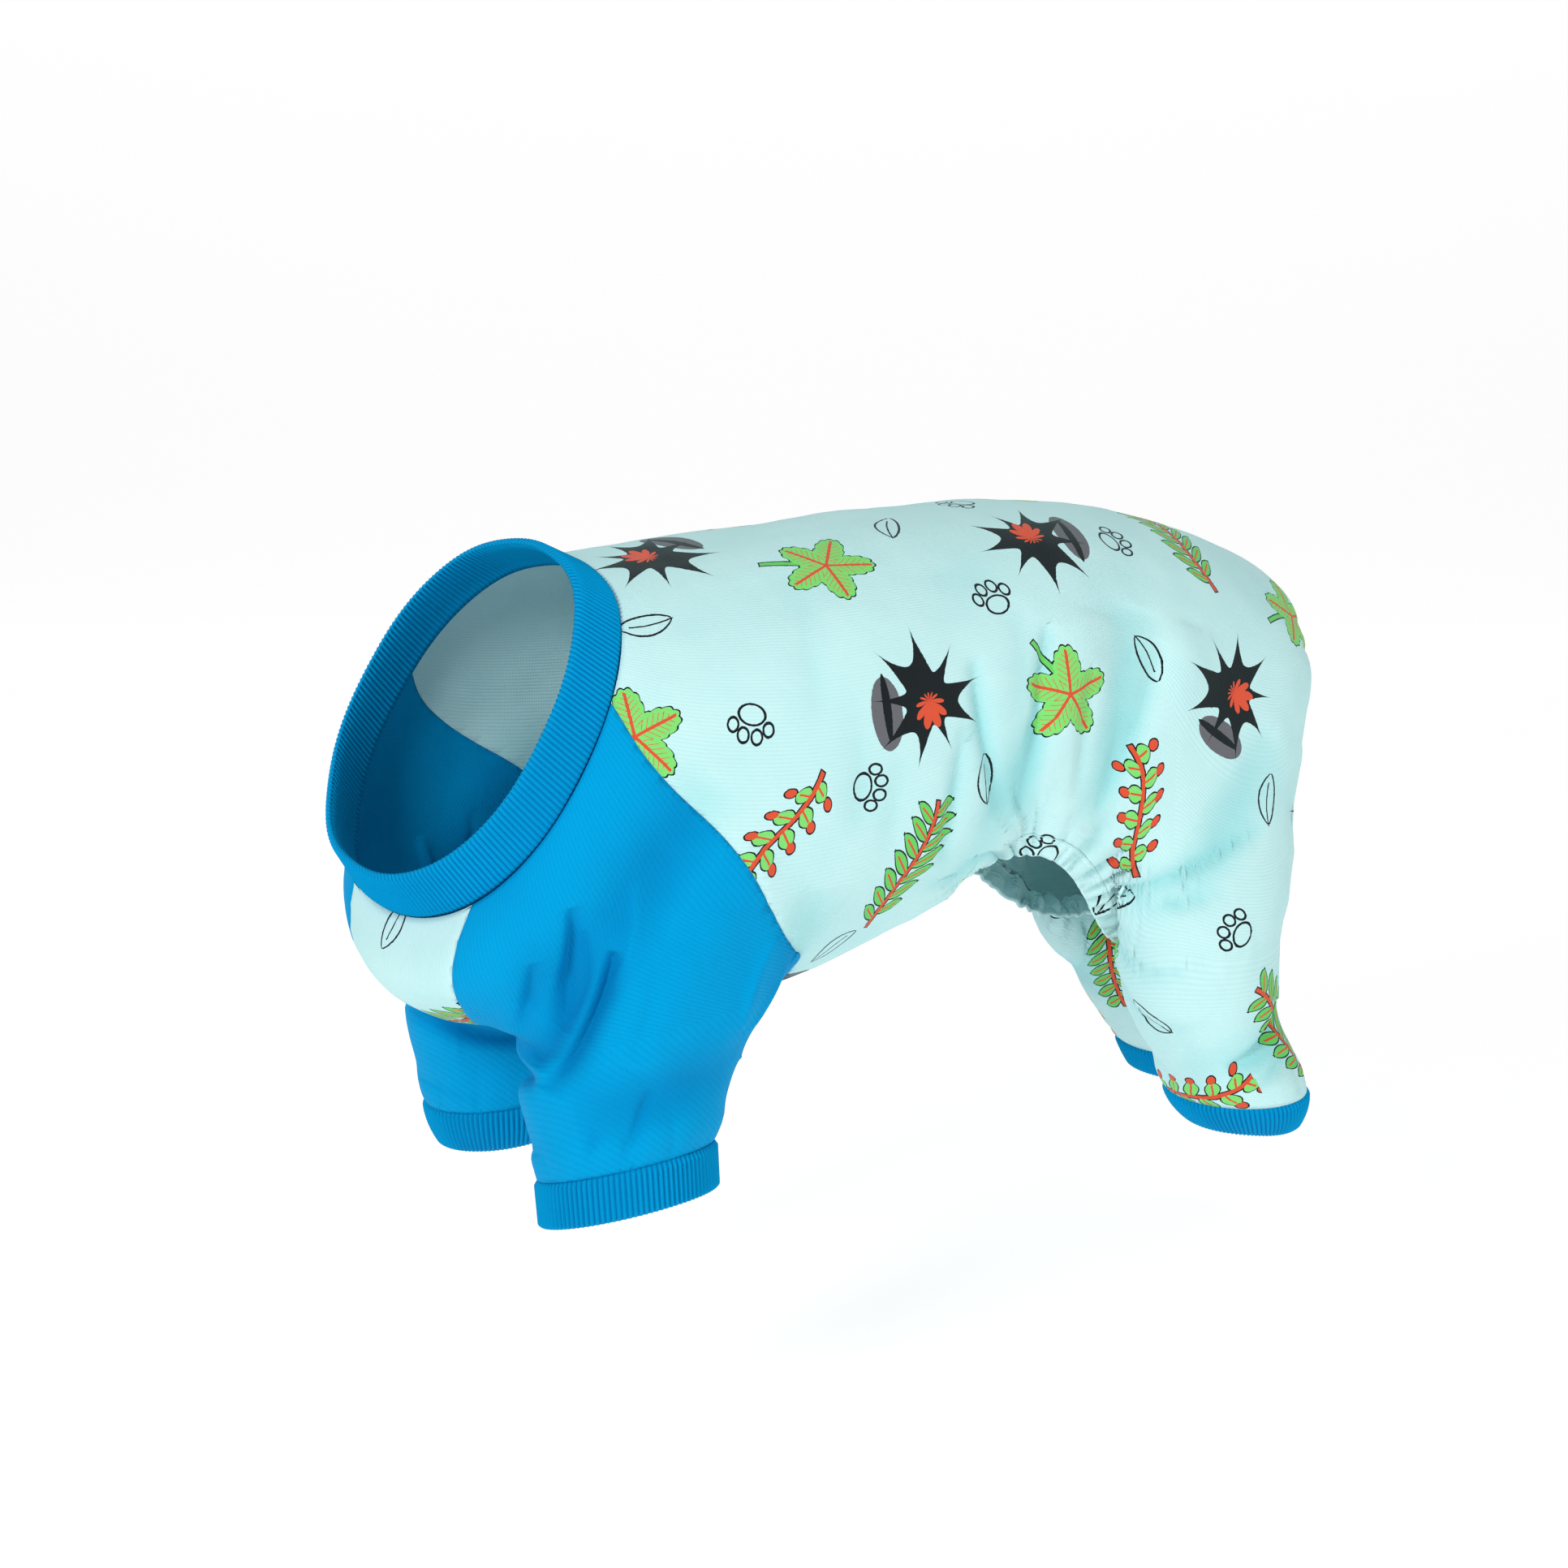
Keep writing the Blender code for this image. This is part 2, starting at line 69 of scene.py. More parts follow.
TRUNK = (
    # row, top_x, top_z, bottom_x, bottom_z, width, end
    (0, -0.377, -0.066, -0.568, -0.745, 0.40, 180),
    (1, -0.328, -0.052, -0.588, -0.855, 0.45, 180),
    (2, -0.279, -0.038, -0.565, -0.935, 0.48, 180),
    (4, -0.186, -0.016, -0.455, -1.020, 0.51, 180),
    (6, -0.105, 0.002, -0.340, -1.050, 0.52, 180),
    (8, 0.012, 0.014, -0.160, -0.960, 0.50, 180),
    (9, 0.058, 0.014, -0.037, -0.855, 0.49, 180),
    (10, 0.105, 0.007, -0.023, -0.806, 0.48, 140),
    (11, 0.151, -0.004, -0.010, -0.930, 0.48, 118),
    (12, 0.198, -0.020, 0.076, -0.930, 0.475, 136),
    (13, 0.244, -0.045, 0.155, -1.025, 0.47, 157),
    (15, 0.333, -0.118, 0.262, -1.010, 0.44, 165),
    (16, 0.372, -0.168, 0.331, -0.806, 0.37, 162),
    (17, 0.397, -0.230, 0.361, -0.618, 0.28, 155),
    (18, 0.410, -0.316, 0.372, -0.481, 0.18, 140),
)
FRONT_LEG = (
    # x, drop, spread, length, width, slope
    (-0.378, 0.800, 0.54, 1.47, 0.98, 0.20),
    (-0.394, 0.890, 0.55, 1.10, 0.86, 0.12),
    (-0.399, 1.000, 0.54, 0.95, 0.80, 0.10),
)
HIND_LEG = (
    # x, drop, spread, length, width, slope
    (0.232, 0.790, 0.53, 0.67, 0.56, 0.06),
    (0.248, 0.860, 0.53, 0.60, 0.56, 0.02),
    (0.269, 0.930, 0.53, 0.56, 0.59, 0.02),
    (0.287, 1.000, 0.53, 0.53, 0.62, 0.05),
)
FRONT_HOLE = (3, 7, 6, 9)
HIND_HOLE = (12, 16, 5, 8)
CHEST_EDGE = ((0, 8.2), (2, 8.8), (3.2, 9.3), (7.4, 9.3), (8.2, 8.7), (9, 8.5), (11, 9.4))
RAGLAN_SEAM = (
    (3.9, -0.8), (4.4, 0.7), (5.2, 3.5), (5.8, 5.1), (6.1, 5.6),
    (6.6, 5.75), (6.95, 5.75), (7.8, 6.8), (8.4, 7.1), (9.6, 7.15),
)

# The broad folds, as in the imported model: places as shares of TRUNK_LENGTH and TRUNK_DEPTH, width
# and height as shares of FOLD_WIDTH and FOLD_HEIGHT.
FOLD_WIDTH = 0.014
FOLD_HEIGHT = 0.004
BROAD_FOLDS = (
    # from_x, from_z, to_x, to_z, width, height
    (0.010, -0.70, 0.070, -0.20, 1.00, 0.75),
    (0.060, -0.66, 0.130, -0.20, 1.00, -1.00),
    (0.110, -0.72, 0.190, -0.25, 1.00, 1.00),
    (0.160, -0.86, 0.290, -0.50, 1.00, -0.75),
    (0.200, -0.98, 0.350, -0.78, 0.93, 0.75),
    (-0.055, -0.78, 0.000, -0.40, 1.00, -0.75),
    (-0.480, -0.92, -0.340, -0.45, 0.93, -0.75),
    (-0.440, -0.98, -0.290, -0.62, 0.86, 0.75),
    (-0.290, -1.05, -0.230, -0.70, 0.93, -0.75),
    (-0.470, -1.10, -0.300, -1.02, 0.86, -0.75),
    (0.200, -1.24, 0.350, -1.14, 0.86, -0.75),
)
# The fine folds: side (-1 near, 1 far, 0 both), facing (1 the outer side, -1 the inner side), the
# width in front and behind and the height in mm, then three points as the broad folds have.
FINE_FOLDS = (
    (0, 1, 3.6, 3.8, -3.8, (-0.067, -0.269), (-0.064, -0.416), (-0.035, -0.617)),
    (0, 1, 4.8, 5.1, -1.6, (-0.011, -0.167), (-0.017, -0.310), (-0.030, -0.406)),
    (0, 1, 3.6, 5.1, -5.0, (0.018, -0.218), (0.000, -0.379), (-0.007, -0.617)),
    (0, 1, 3.6, 4.7, -2.9, (0.059, -0.306), (0.049, -0.439), (0.048, -0.589)),
    (0, 1, 3.6, 4.2, -1.6, (0.103, -0.402), (0.090, -0.538), (0.075, -0.641)),
    (0, 1, 4.0, 5.1, -2.4, (0.150, -0.274), (0.122, -0.422), (0.081, -0.625)),
    (0, 1, 3.2, 5.1, -3.2, (-0.085, -0.395), (-0.098, -0.577), (-0.095, -0.709)),
    (0, 1, 4.2, 2.4, -3.8, (0.274, -0.695), (0.168, -0.790), (0.120, -0.830)),
    (0, 1, 3.5, 2.4, -1.9, (0.226, -0.837), (0.156, -0.852), (0.125, -0.848)),
    (0, 1, 4.8, 5.1, -1.1, (-0.157, -0.445), (-0.164, -0.559), (-0.166, -0.661)),
    (0, 1, 6.4, 6.8, -1.0, (-0.200, -0.310), (-0.198, -0.485), (-0.198, -0.600)),
    (0, 1, 6.4, 6.8, -0.8, (-0.205, -0.087), (-0.229, -0.231), (-0.237, -0.382)),
    (0, 1, 1.6, 4.0, -5.0, (-0.469, -0.686), (-0.469, -0.847), (-0.492, -1.008)),
    (0, 1, 1.6, 5.0, -6.5, (-0.434, -0.777), (-0.453, -0.880), (-0.490, -1.045)),
    (0, 1, 1.8, 3.2, -2.5, (-0.495, -0.800), (-0.492, -0.893), (-0.491, -0.984)),
    (0, 1, 1.8, 4.0, 1.5, (-0.412, -0.642), (-0.417, -0.744), (-0.438, -0.841)),
    (0, 1, 3.0, 4.0, -1.4, (-0.398, -0.790), (-0.412, -0.894), (-0.427, -0.970)),
    (0, 1, 2.4, 3.2, -1.9, (-0.411, -1.049), (-0.425, -1.136), (-0.438, -1.190)),
    (0, 1, 1.8, 2.4, -1.5, (-0.455, -1.124), (-0.460, -1.167), (-0.464, -1.203)),
    (0, 1, 2.4, 4.2, 1.9, (-0.284, -0.782), (-0.310, -0.865), (-0.320, -0.956)),
    (0, 1, 2.0, 3.0, 1.6, (-0.265, -0.854), (-0.282, -0.920), (-0.313, -0.971)),
    (0, 1, 1.8, 2.4, -1.7, (-0.455, -0.739), (-0.456, -0.821), (-0.472, -0.902)),
    (0, 1, 2.1, 5.6, -4.8, (0.300, -1.100), (0.280, -1.157), (0.226, -1.238)),
    (0, 1, 2.1, 2.4, -2.6, (0.205, -1.280), (0.218, -1.296), (0.243, -1.289)),
    (0, 1, 2.1, 3.2, -1.9, (0.304, -1.210), (0.277, -1.247), (0.250, -1.287)),
    (0, -1, 2.6, 4.2, -6.5, (-0.510, -0.985), (-0.473, -1.071), (-0.400, -1.090)),
    (0, -1, 2.4, 3.6, -4.2, (-0.515, -0.935), (-0.473, -1.000), (-0.400, -1.010)),
    (0, -1, 2.4, 3.2, -1.7, (-0.505, -1.160), (-0.470, -1.205), (-0.410, -1.215)),
)
# Pleats at the elastic opening and above the cuffs: wavelength, height, where highest, and reach.
OPENING_PLEATS = (
    (0.0064, 0.0030, 0.0, 0.020),
    (0.0115, 0.0052, 0.007, 0.038),
    (0.0250, 0.0046, 0.020, 0.068),
)
CUFF_PLEATS = ((0.009, 0.0008, 0.0, 0.010), (0.021, 0.0013, 0.005, 0.026))
# How deep a fold sinks before its painted shade is full.
FOLD_SHADE_DEPTH = 0.0042

# The finer sheet, and what is seen on it.
LEVEL = 3
CLOTH = 0.0011
HEM_CLOTH = 0.0018
RIB_CLOTH = 0.0022
RIB_HEIGHT = 0.00048
SEAM_HALF_GAP = 0.00006
NECKBAND_WIDTH = 0.019
FRONT_CUFF_HEIGHT = 0.018
HIND_CUFF_HEIGHT = 0.016
HEM_WIDTH = 0.009
RIB_PITCH = 0.0021
CUFF_CURL = {("front", "near"): 0.0, ("front", "far"): 0.3, ("hind", "near"): 0.4, ("hind", "far"): 0.1}
STITCH_INSET = 0.0076
STITCH_LENGTH = 0.0028
PRINT_SEED = 11


def smooth_lookup(at, known, values):
    """Values between the known places, on a smooth curve that doesn't overshoot."""
    known, values = np.asarray(known, float), np.asarray(values, float)
    step = np.diff(known)
    rise = np.diff(values) / step
    slope = np.concatenate([[rise[0]], np.zeros(len(rise) - 1), [rise[-1]]])
    for i in range(1, len(rise)):
        if rise[i - 1] * rise[i] > 0:
            before, after = step[i - 1], step[i]
            weights = (2 * after + before, after + 2 * before)
            slope[i] = sum(weights) / (weights[0] / rise[i - 1] + weights[1] / rise[i])
    at = np.asarray(at, float)
    i = np.clip(np.searchsorted(known, at) - 1, 0, len(step) - 1)
    t = (at - known[i]) / step[i]
    inside = (t >= 0) & (t <= 1)
    t = np.clip(t, 0, 1)
    hermite = (
        (1 + 2 * t) * (1 - t) ** 2 * values[i]
        + t * (1 - t) ** 2 * step[i] * slope[i]
        + t**2 * (3 - 2 * t) * values[i + 1]
        + t**2 * (t - 1) * step[i] * slope[i + 1]
    )
    outside = np.where(at < known[0], (at - known[0]) * slope[0], (at - known[-1]) * slope[-1])
    return hermite + np.where(inside, 0.0, outside)


def smoothstep(value, low, high):
    t = np.clip((value - low) / (high - low), 0, 1)
    return t * t * (3 - 2 * t)


def trunk_point(row, column, side):
    """A point of the trunk. Column 0 is the spine, COLUMNS the belly, side -1 near and 1 far."""
    stations = [line[0] for line in TRUNK]
    top_x, top_z, bottom_x, bottom_z, width, end = (
        float(smooth_lookup(row, stations, [line[i] for line in TRUNK])) for i in range(1, 7)
    )
    top = np.array([top_x * TRUNK_LENGTH, 0, top_z * TRUNK_DEPTH])
    bottom = np.array([bottom_x * TRUNK_LENGTH, 0, bottom_z * TRUNK_DEPTH])
    last = COLUMNS if row <= OPENING_ROW else EDGE_COLUMN
    angle = math.radians(end) * column / last
    power = 2 / SECTION_SQUARENESS
    up = math.copysign(abs(math.cos(angle)) ** power, math.cos(angle))
    out = side * width * TRUNK_WIDTH * abs(math.sin(angle)) ** power
    middle = (top + bottom) / 2
    arm = (top - bottom) / 2 * up + np.array([0, out, 0])
    turn = math.radians(NECK_TURN) * max(0, 1 - row / NECK_TURN_END)
    turned_x = arm[0] * math.cos(turn) - arm[1] * math.sin(turn)
    turned_y = arm[0] * math.sin(turn) + arm[1] * math.cos(turn)
    return middle + np.array([turned_x, turned_y, arm[2]])


def leg_rings(table, leg_length, leg_width, count, side, stride, stride_drop, lean):
    """The rings of a leg, from the top one down. Point 0 is beside the front of the outer edge."""
    rings = []
    for x, drop, spread, length, width, slope in table:
        share = (drop - STRIDE_START) / (1 - STRIDE_START)
        centre = np.array(
            [
                x * TRUNK_LENGTH + stride * share,
                side * spread * LEG_SPREAD,
                -drop * leg_length - stride_drop * share,
            ]
        )
        ring = []
        for i in range(count):
            angle = 2 * math.pi * (i - 1.5) / count
            ahead = -length * leg_width / 2 * math.cos(angle)
            inward = width * leg_width / 2 * math.sin(angle)
            ring.append(centre + np.array([ahead, -side * inward, ahead * slope - inward * lean]))
        rings.append(ring)
    return rings


def hole_loop(hole):
    """The cage corners round a leg's hole, as (row, column)."""
    first, last, outer, inner = hole
    loop = [(first, column) for column in range(outer, inner)]
    loop += [(row, inner) for row in range(first, last)]
    loop += [(last, column) for column in range(inner, outer, -1)]
    loop += [(row, outer) for row in range(last, first, -1)]
    return loop


def in_hole(hole, row, column):
    first, last, outer, inner = hole
    return first <= row < last and outer <= column < inner


def cage():
    """The control cage: points, charts and quads. A chart is (row, column, how far down a leg)."""
    points, charts, quads, index = [], [], [], {}

    def corner(row, column, side):
        if column in (0, COLUMNS):
            side = -1
        key = (row, column, side)
        if key not in index:
            index[key] = len(points)
            points.append(trunk_point(row, column, side))
            charts.append((row, column, 0))
        return index[key]

    def add_quad(corners, side):
        quads.append(corners if side < 0 else corners[::-1])

    front = (FRONT_HOLE, FRONT_LEG, FRONT_LEG_LENGTH, FRONT_SLEEVE_WIDTH, 0, 0, NEAR_SLEEVE_LEAN)
    hind = (HIND_HOLE, HIND_LEG, HIND_LEG_LENGTH, HIND_LEG_WIDTH, HIND_STRIDE, HIND_STRIDE_DROP, 0)
    for side in (-1, 1):
        for row in range(ROWS):
            for column in range(COLUMNS):
                opened = row >= OPENING_ROW and column >= EDGE_COLUMN
                if opened or in_hole(FRONT_HOLE, row, column) or in_hole(HIND_HOLE, row, column):
                    continue
                around = ((0, 0), (0, 1), (1, 1), (1, 0))
                add_quad([corner(row + r, column + c, side) for r, c in around], side)
        for hole, table, leg_length, leg_width, stride, drop, lean in (front, hind):
            loop = hole_loop(hole)
            above = [corner(row, column, side) for row, column in loop]
            centre = ((hole[0] + hole[1]) / 2, (hole[2] + hole[3]) / 2)
            moved = (stride, drop, 0) if side > 0 else (0, 0, lean)
            rings = leg_rings(table, leg_length, leg_width, len(loop), side, *moved)
            for depth, ring in enumerate(rings, 1):
                below = list(range(len(points), len(points) + len(ring)))
                points.extend(ring)
                charts.extend([(*centre, depth)] * len(ring))
                for i in range(len(ring)):
                    after = (i + 1) % len(ring)
                    add_quad([above[i], above[after], below[after], below[i]], side)
                above = below
    return np.array(points), np.array(charts, float), quads


LAYERS = ("points", "normals", "charts", "rest", "edge")


def smoothed_sheet():
    """The cage subdivided into a smooth sheet, with its normals, charts and faces."""
    points, charts, quads = cage()
    mesh = bpy.data.meshes.new("cage")
    mesh.from_pydata([tuple(p) for p in points], [], quads)
    chart = mesh.attributes.new("chart", "FLOAT_VECTOR", "POINT")
    chart.data.foreach_set("vector", charts.astype(np.float32).ravel())
    helper = bpy.data.objects.new("cage", mesh)
    bpy.context.scene.collection.objects.link(helper)
    subdivide = helper.modifiers.new("Subdivision", "SUBSURF")
    subdivide.levels = subdivide.render_levels = LEVEL
    smooth = helper.evaluated_get(bpy.context.evaluated_depsgraph_get()).to_mesh()
    count = len(smooth.vertices)
    found = {}
    for name, source, field in (
        ("points", smooth.vertices, "co"),
        ("normals", smooth.vertices, "normal"),
        ("charts", smooth.attributes["chart"].data, "vector"),
    ):
        values = np.empty(count * 3, np.float32)
        source.foreach_get(field, values)
        found[name] = values.reshape(-1, 3).astype(float)
    found["faces"] = [tuple(face.vertices) for face in smooth.polygons]
    found["rest"] = found["points"].copy()
    found["edge"] = np.zeros((count, 3))
    bpy.data.objects.remove(helper)
    bpy.data.meshes.remove(mesh)
    return found


def clipped(sheet, value):
    """The part of a sheet where value, one number for each point, is above zero."""
    rows = {name: list(sheet[name]) for name in LAYERS}
    crossings = {}

    def crossing(a, b):
        key = (min(a, b), max(a, b))
        if key not in crossings:
            share = value[key[0]] / (value[key[0]] - value[key[1]])
            share = min(0.98, max(0.02, share))
            for name in LAYERS:
                low, high = sheet[name][key[0]], sheet[name][key[1]]
                rows[name].append(low + (high - low) * share)
            crossings[key] = len(rows["points"]) - 1
        return crossings[key]

    faces = []
    for face in sheet["faces"]:
        inside = [value[v] > 0 for v in face]
        if not any(inside):
            continue
        kept = []
        for i, v in enumerate(face):
            after = (i + 1) % len(face)
            if inside[i]:
                kept.append(v)
            if inside[i] != inside[after]:
                kept.append(crossing(v, face[after]))
        faces.append(tuple(kept))
    return with_faces({**{name: np.array(rows[name]) for name in LAYERS}}, faces)


def with_faces(sheet, faces):
    """The sheet with only some of its faces."""
    used = sorted({v for face in faces for v in face})
    renumbered = {old: new for new, old in enumerate(used)}
    made = {name: sheet[name][used] for name in LAYERS}
    made["faces"] = [tuple(renumbered[v] for v in face) for face in faces]
    return made


def one_side(sheet, side):
    faces = [f for f in sheet["faces"] if sheet["points"][list(f), 1].mean() * side > 0]
    return with_faces(sheet, faces)


def largest_piece(sheet):
    """The largest connected piece of a sheet."""
    group = list(range(len(sheet["points"])))

    def root(v):
        while group[v] != v:
            group[v] = group[group[v]]
            v = group[v]
        return v

    for face in sheet["faces"]:
        for v in face[1:]:
            group[root(v)] = root(face[0])
    roots = [root(face[0]) for face in sheet["faces"]]
    largest = max(set(roots), key=roots.count)
    return with_faces(sheet, [f for f, found in zip(sheet["faces"], roots) if found == largest])


def edge_loops(faces):
    """The open edges of a sheet as closed loops of points, walked with the cloth on the left."""
    sides = {(f[i], f[(i + 1) % len(f)]) for f in faces for i in range(len(f))}
    onward = {a: b for a, b in sides if (b, a) not in sides}
    loops = []
    while onward:
        start = next(iter(onward))
        loop, at = [start], onward.pop(start)
        while at != start:
            loop.append(at)
            at = onward.pop(at)
        loops.append(loop)
    return loops


def nearest_on_loop(points, places):
    """For each point, its distance to a closed line and how far along the line that is."""
    steps = np.roll(places, -1, axis=0) - places
    lengths = np.linalg.norm(steps, axis=1)
    begins = np.concatenate([[0], np.cumsum(lengths)[:-1]])
    tree = KDTree(len(places))
    for i, place in enumerate(places):
        tree.insert(place, i)
    tree.balance()
    closest = np.array([tree.find(point)[1] for point in points])
    nearest = np.full(len(points), np.inf)
    along = np.zeros(len(points))
    for i in (closest, closest - 1):
        off, step = points - places[i], steps[i]
        share = np.clip((off * step).sum(axis=1) / lengths[i] ** 2, 0, 1)
        gaps = np.linalg.norm(off - share[:, None] * step, axis=1)
        closer = gaps < nearest
        nearest[closer] = gaps[closer]
        along[closer] = (begins[i] + share * lengths[i])[closer]
    return nearest, along, lengths.sum()


def seam_fields(sheet):
    """How far inside the chest panel and inside a sleeve each point is, in metres along the cloth."""
    row, column = sheet["charts"][:, 0], sheet["charts"][:, 1]
    chest = column - smooth_lookup(row, *zip(*CHEST_EDGE))
    seam = smooth_lookup(column, *zip(*RAGLAN_SEAM))
    seam_slope = smooth_lookup(column + 0.5, *zip(*RAGLAN_SEAM)) - seam
    sleeve = (seam - row) / np.sqrt(1 + (2 * seam_slope) ** 2)
    return chest * CAGE_PITCH, np.minimum(-chest, sleeve) * CAGE_PITCH


def vertex_normals(points, faces):
    """The unit normals of a sheet's points, from its faces."""
    mesh = bpy.data.meshes.new("normals")
    mesh.from_pydata(points.tolist(), [], faces)
    values = np.empty(len(points) * 3, np.float32)
    mesh.vertices.foreach_get("normal", values)
    bpy.data.meshes.remove(mesh)
    return values.reshape(-1, 3).astype(float)


def refined(sheet, wanted):
    """The sheet with its wanted faces, a mask, each split into four."""
    rows = {name: list(sheet[name]) for name in LAYERS}
    middles = {}

    def middle(a, b):
        key = (min(a, b), max(a, b))
        if key not in middles:
            way = sheet["rest"][b] - sheet["rest"][a]
            first, second = sheet["normals"][a], sheet["normals"][b]
            swell = (second * (way @ second) - first * (way @ first)) / 8
            for name in LAYERS:
                rounded = swell if name in ("points", "rest") else 0
                rows[name].append((sheet[name][a] + sheet[name][b]) / 2 + rounded)
            middles[key] = len(rows["points"]) - 1
        return middles[key]

    split = [f for f, chosen in zip(sheet["faces"], wanted) if chosen and len(f) == 4]
    others = [f for f, chosen in zip(sheet["faces"], wanted) if not chosen or len(f) != 4]
    faces = []
    for face in split:
        sides = [middle(face[i], face[(i + 1) % 4]) for i in range(4)]
        for name in LAYERS:
            between = sum(rows[name][v] for v in sides) / 2
            rows[name].append(between - sheet[name][list(face)].mean(axis=0))
        centre = len(rows["points"]) - 1
        faces += [(face[i], sides[i], centre, sides[i - 1]) for i in range(4)]
    for face in others:
        walked = []
        for i, v in enumerate(face):
            after = face[(i + 1) % len(face)]
            walked.append(v)
            if (min(v, after), max(v, after)) in middles:
                walked.append(middles[min(v, after), max(v, after)])
        faces.append(tuple(walked))
    made = {name: np.array(rows[name]) for name in LAYERS}
    made["normals"] /= np.linalg.norm(made["normals"], axis=1)[:, None]
    return {**made, "faces": faces}


def waves(places, length, seed, directions=7):
    """Smooth irregular waves of about one length, from -1 to 1 or so."""
    random = np.random.default_rng(seed)
    total = np.zeros(len(places))
    for _ in range(directions):
        way = random.normal(size=3)
        way *= random.uniform(0.75, 1.3) * 2 * math.pi / length / np.linalg.norm(way)
        total += np.sin(places @ way + random.uniform(0, 2 * math.pi))
    return total / math.sqrt(directions)


def fold_line(ends):
    """Points of a smooth line through three points of the side view, in metres."""
    start, middle, end = (np.array([x * TRUNK_LENGTH, z * TRUNK_DEPTH]) for x, z in ends)
    t = np.linspace(0, 1, 11)[:, None]
    bend = 2 * middle - (start + end) / 2
    return (1 - t) ** 2 * start + 2 * t * (1 - t) * bend + t**2 * end


def one_fold(flat, line, front, back, power):
    """The height from 0 to 1 of a fold along a line, with its own width on each side of it. The
    lower the power is, the sharper is its crest."""
    count = len(line) - 1
    nearest, across, along = np.full(len(flat), np.inf), np.zeros(len(flat)), np.zeros(len(flat))
    for i in range(count):
        step = line[i + 1] - line[i]
        off = flat - line[i]
        share = np.clip(off @ step / (step @ step), 0, 1)
        gap = off - share[:, None] * step
        size = np.linalg.norm(gap, axis=1)
        closer = size < nearest
        side = np.sign(step[0] * gap[:, 1] - step[1] * gap[:, 0])
        nearest[closer] = size[closer]
        across[closer] = (side * size)[closer]
        along[closer] = ((i + share) / count)[closer]
    ends = np.sin(math.pi * np.clip(along, 0, 1)) ** 0.45
    return np.exp(-np.abs(across / np.where(across > 0, back, front)) ** power) * ends


def fold_heights(sheet):
    """How far the folds lift each point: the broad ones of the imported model, then the fine ones."""
    points, normals = sheet["rest"], sheet["normals"]
    flat = points[:, [0, 2]]
    lift = np.zeros(len(points))
    for from_x, from_z, to_x, to_z, width, height in BROAD_FOLDS:
        ends = (from_x, from_z), ((from_x + to_x) / 2, (from_z + to_z) / 2), (to_x, to_z)
        wide = width * FOLD_WIDTH
        broad = one_fold(flat, fold_line(ends), wide, wide, 2.0)
        lift += height * FOLD_HEIGHT * broad * np.clip(np.abs(points[:, 1]) / (TRUNK_WIDTH * 0.3), 0, 1)
    drop = -points[:, 2] / HIND_LEG_LENGTH
    strode = (drop - STRIDE_START) / (1 - STRIDE_START)
    hind = (sheet["charts"][:, 0] > OPENING_ROW) & (sheet["charts"][:, 2] > 0.2)
    for sides, facing, front, back, height, *ends in FINE_FOLDS:
        for side in (-1, 1):
            if sides and side != sides:
                continue
            moved = flat.copy()
            if side > 0:
                moved[hind, 0] -= (HIND_STRIDE * strode)[hind]
                moved[hind, 1] += (HIND_STRIDE_DROP * strode)[hind]
            outward = normals[:, 1] * side * facing
            gate = smoothstep(outward, -0.40, 0.10) * (points[:, 1] * side > 0)
            near = np.nonzero(gate > 0)[0]
            fold = one_fold(moved[near], fold_line(ends), front * 0.001, back * 0.001, 1.5)
            lift[near] += height * 0.001 * fold * gate[near] * (1 if side < 0 else 0.85)
    return lift


def gather_heights(distance, along, perimeter, bands):
    """The pleats of cloth drawn in at an edge. A band is wavelength, height, peak and reach."""
    lift = np.zeros(len(distance))
    turn = 2 * math.pi * along / perimeter
    for seed, (wavelength, height, peak, reach) in enumerate(bands):
        count = round(perimeter / wavelength)
        swing = 1.4 * np.sin(round(count / 3.3) * turn + seed) + 0.8 * np.sin(round(count / 7) * turn)
        pinch = np.abs(np.sin((count * turn + swing) / 2)) ** 0.65
        strength = 0.7 + 0.3 * np.sin(round(count / 5) * turn + 2 * seed)
        share = np.clip(distance / peak, 0, None) if peak else 1
        rise = np.where(share < 1, share * share * (3 - 2 * share), 1) if peak else 1
        fall = 1 - smoothstep(distance, peak, reach)
        lift += height * strength * (pinch - 0.75) * rise * fall
    return lift


def loop_frames(sheet, loop):
    """For each point of an open edge: its place, the outward normal and the way off the cloth."""
    places, normals = sheet["rest"][loop], sheet["normals"][loop]
    along = np.roll(places, -1, axis=0) - np.roll(places, 1, axis=0)
    outward = np.cross(along, normals)
    return places, normals, outward / np.linalg.norm(outward, axis=1)[:, None]


def axis_frames(sheet, loop, taper):
    """As loop_frames, for a ring round a limb or the neck: every point goes out along one axis,
    and leans in by taper for each unit that it goes."""
    places, normals, outward = loop_frames(sheet, loop)
    axis = outward.mean(axis=0)
    axis /= np.linalg.norm(axis)
    flat = normals - np.outer(normals @ axis, axis)
    flat /= np.linalg.norm(flat, axis=1)[:, None]
    return places, flat, axis - flat * taper


def resampled(places, count, *others):
    """A closed line and what is known along it, at evenly spaced points."""
    lengths = np.linalg.norm(np.roll(places, -1, axis=0) - places, axis=1)
    known = np.concatenate([[0], np.cumsum(lengths)])
    wanted = np.linspace(0, known[-1], count, endpoint=False)

    def at(values):
        closed = np.vstack([values, values[:1]])
        return np.stack([np.interp(wanted, known, closed[:, i]) for i in range(closed.shape[1])], 1)

    return [at(values) for values in (places, *others)]


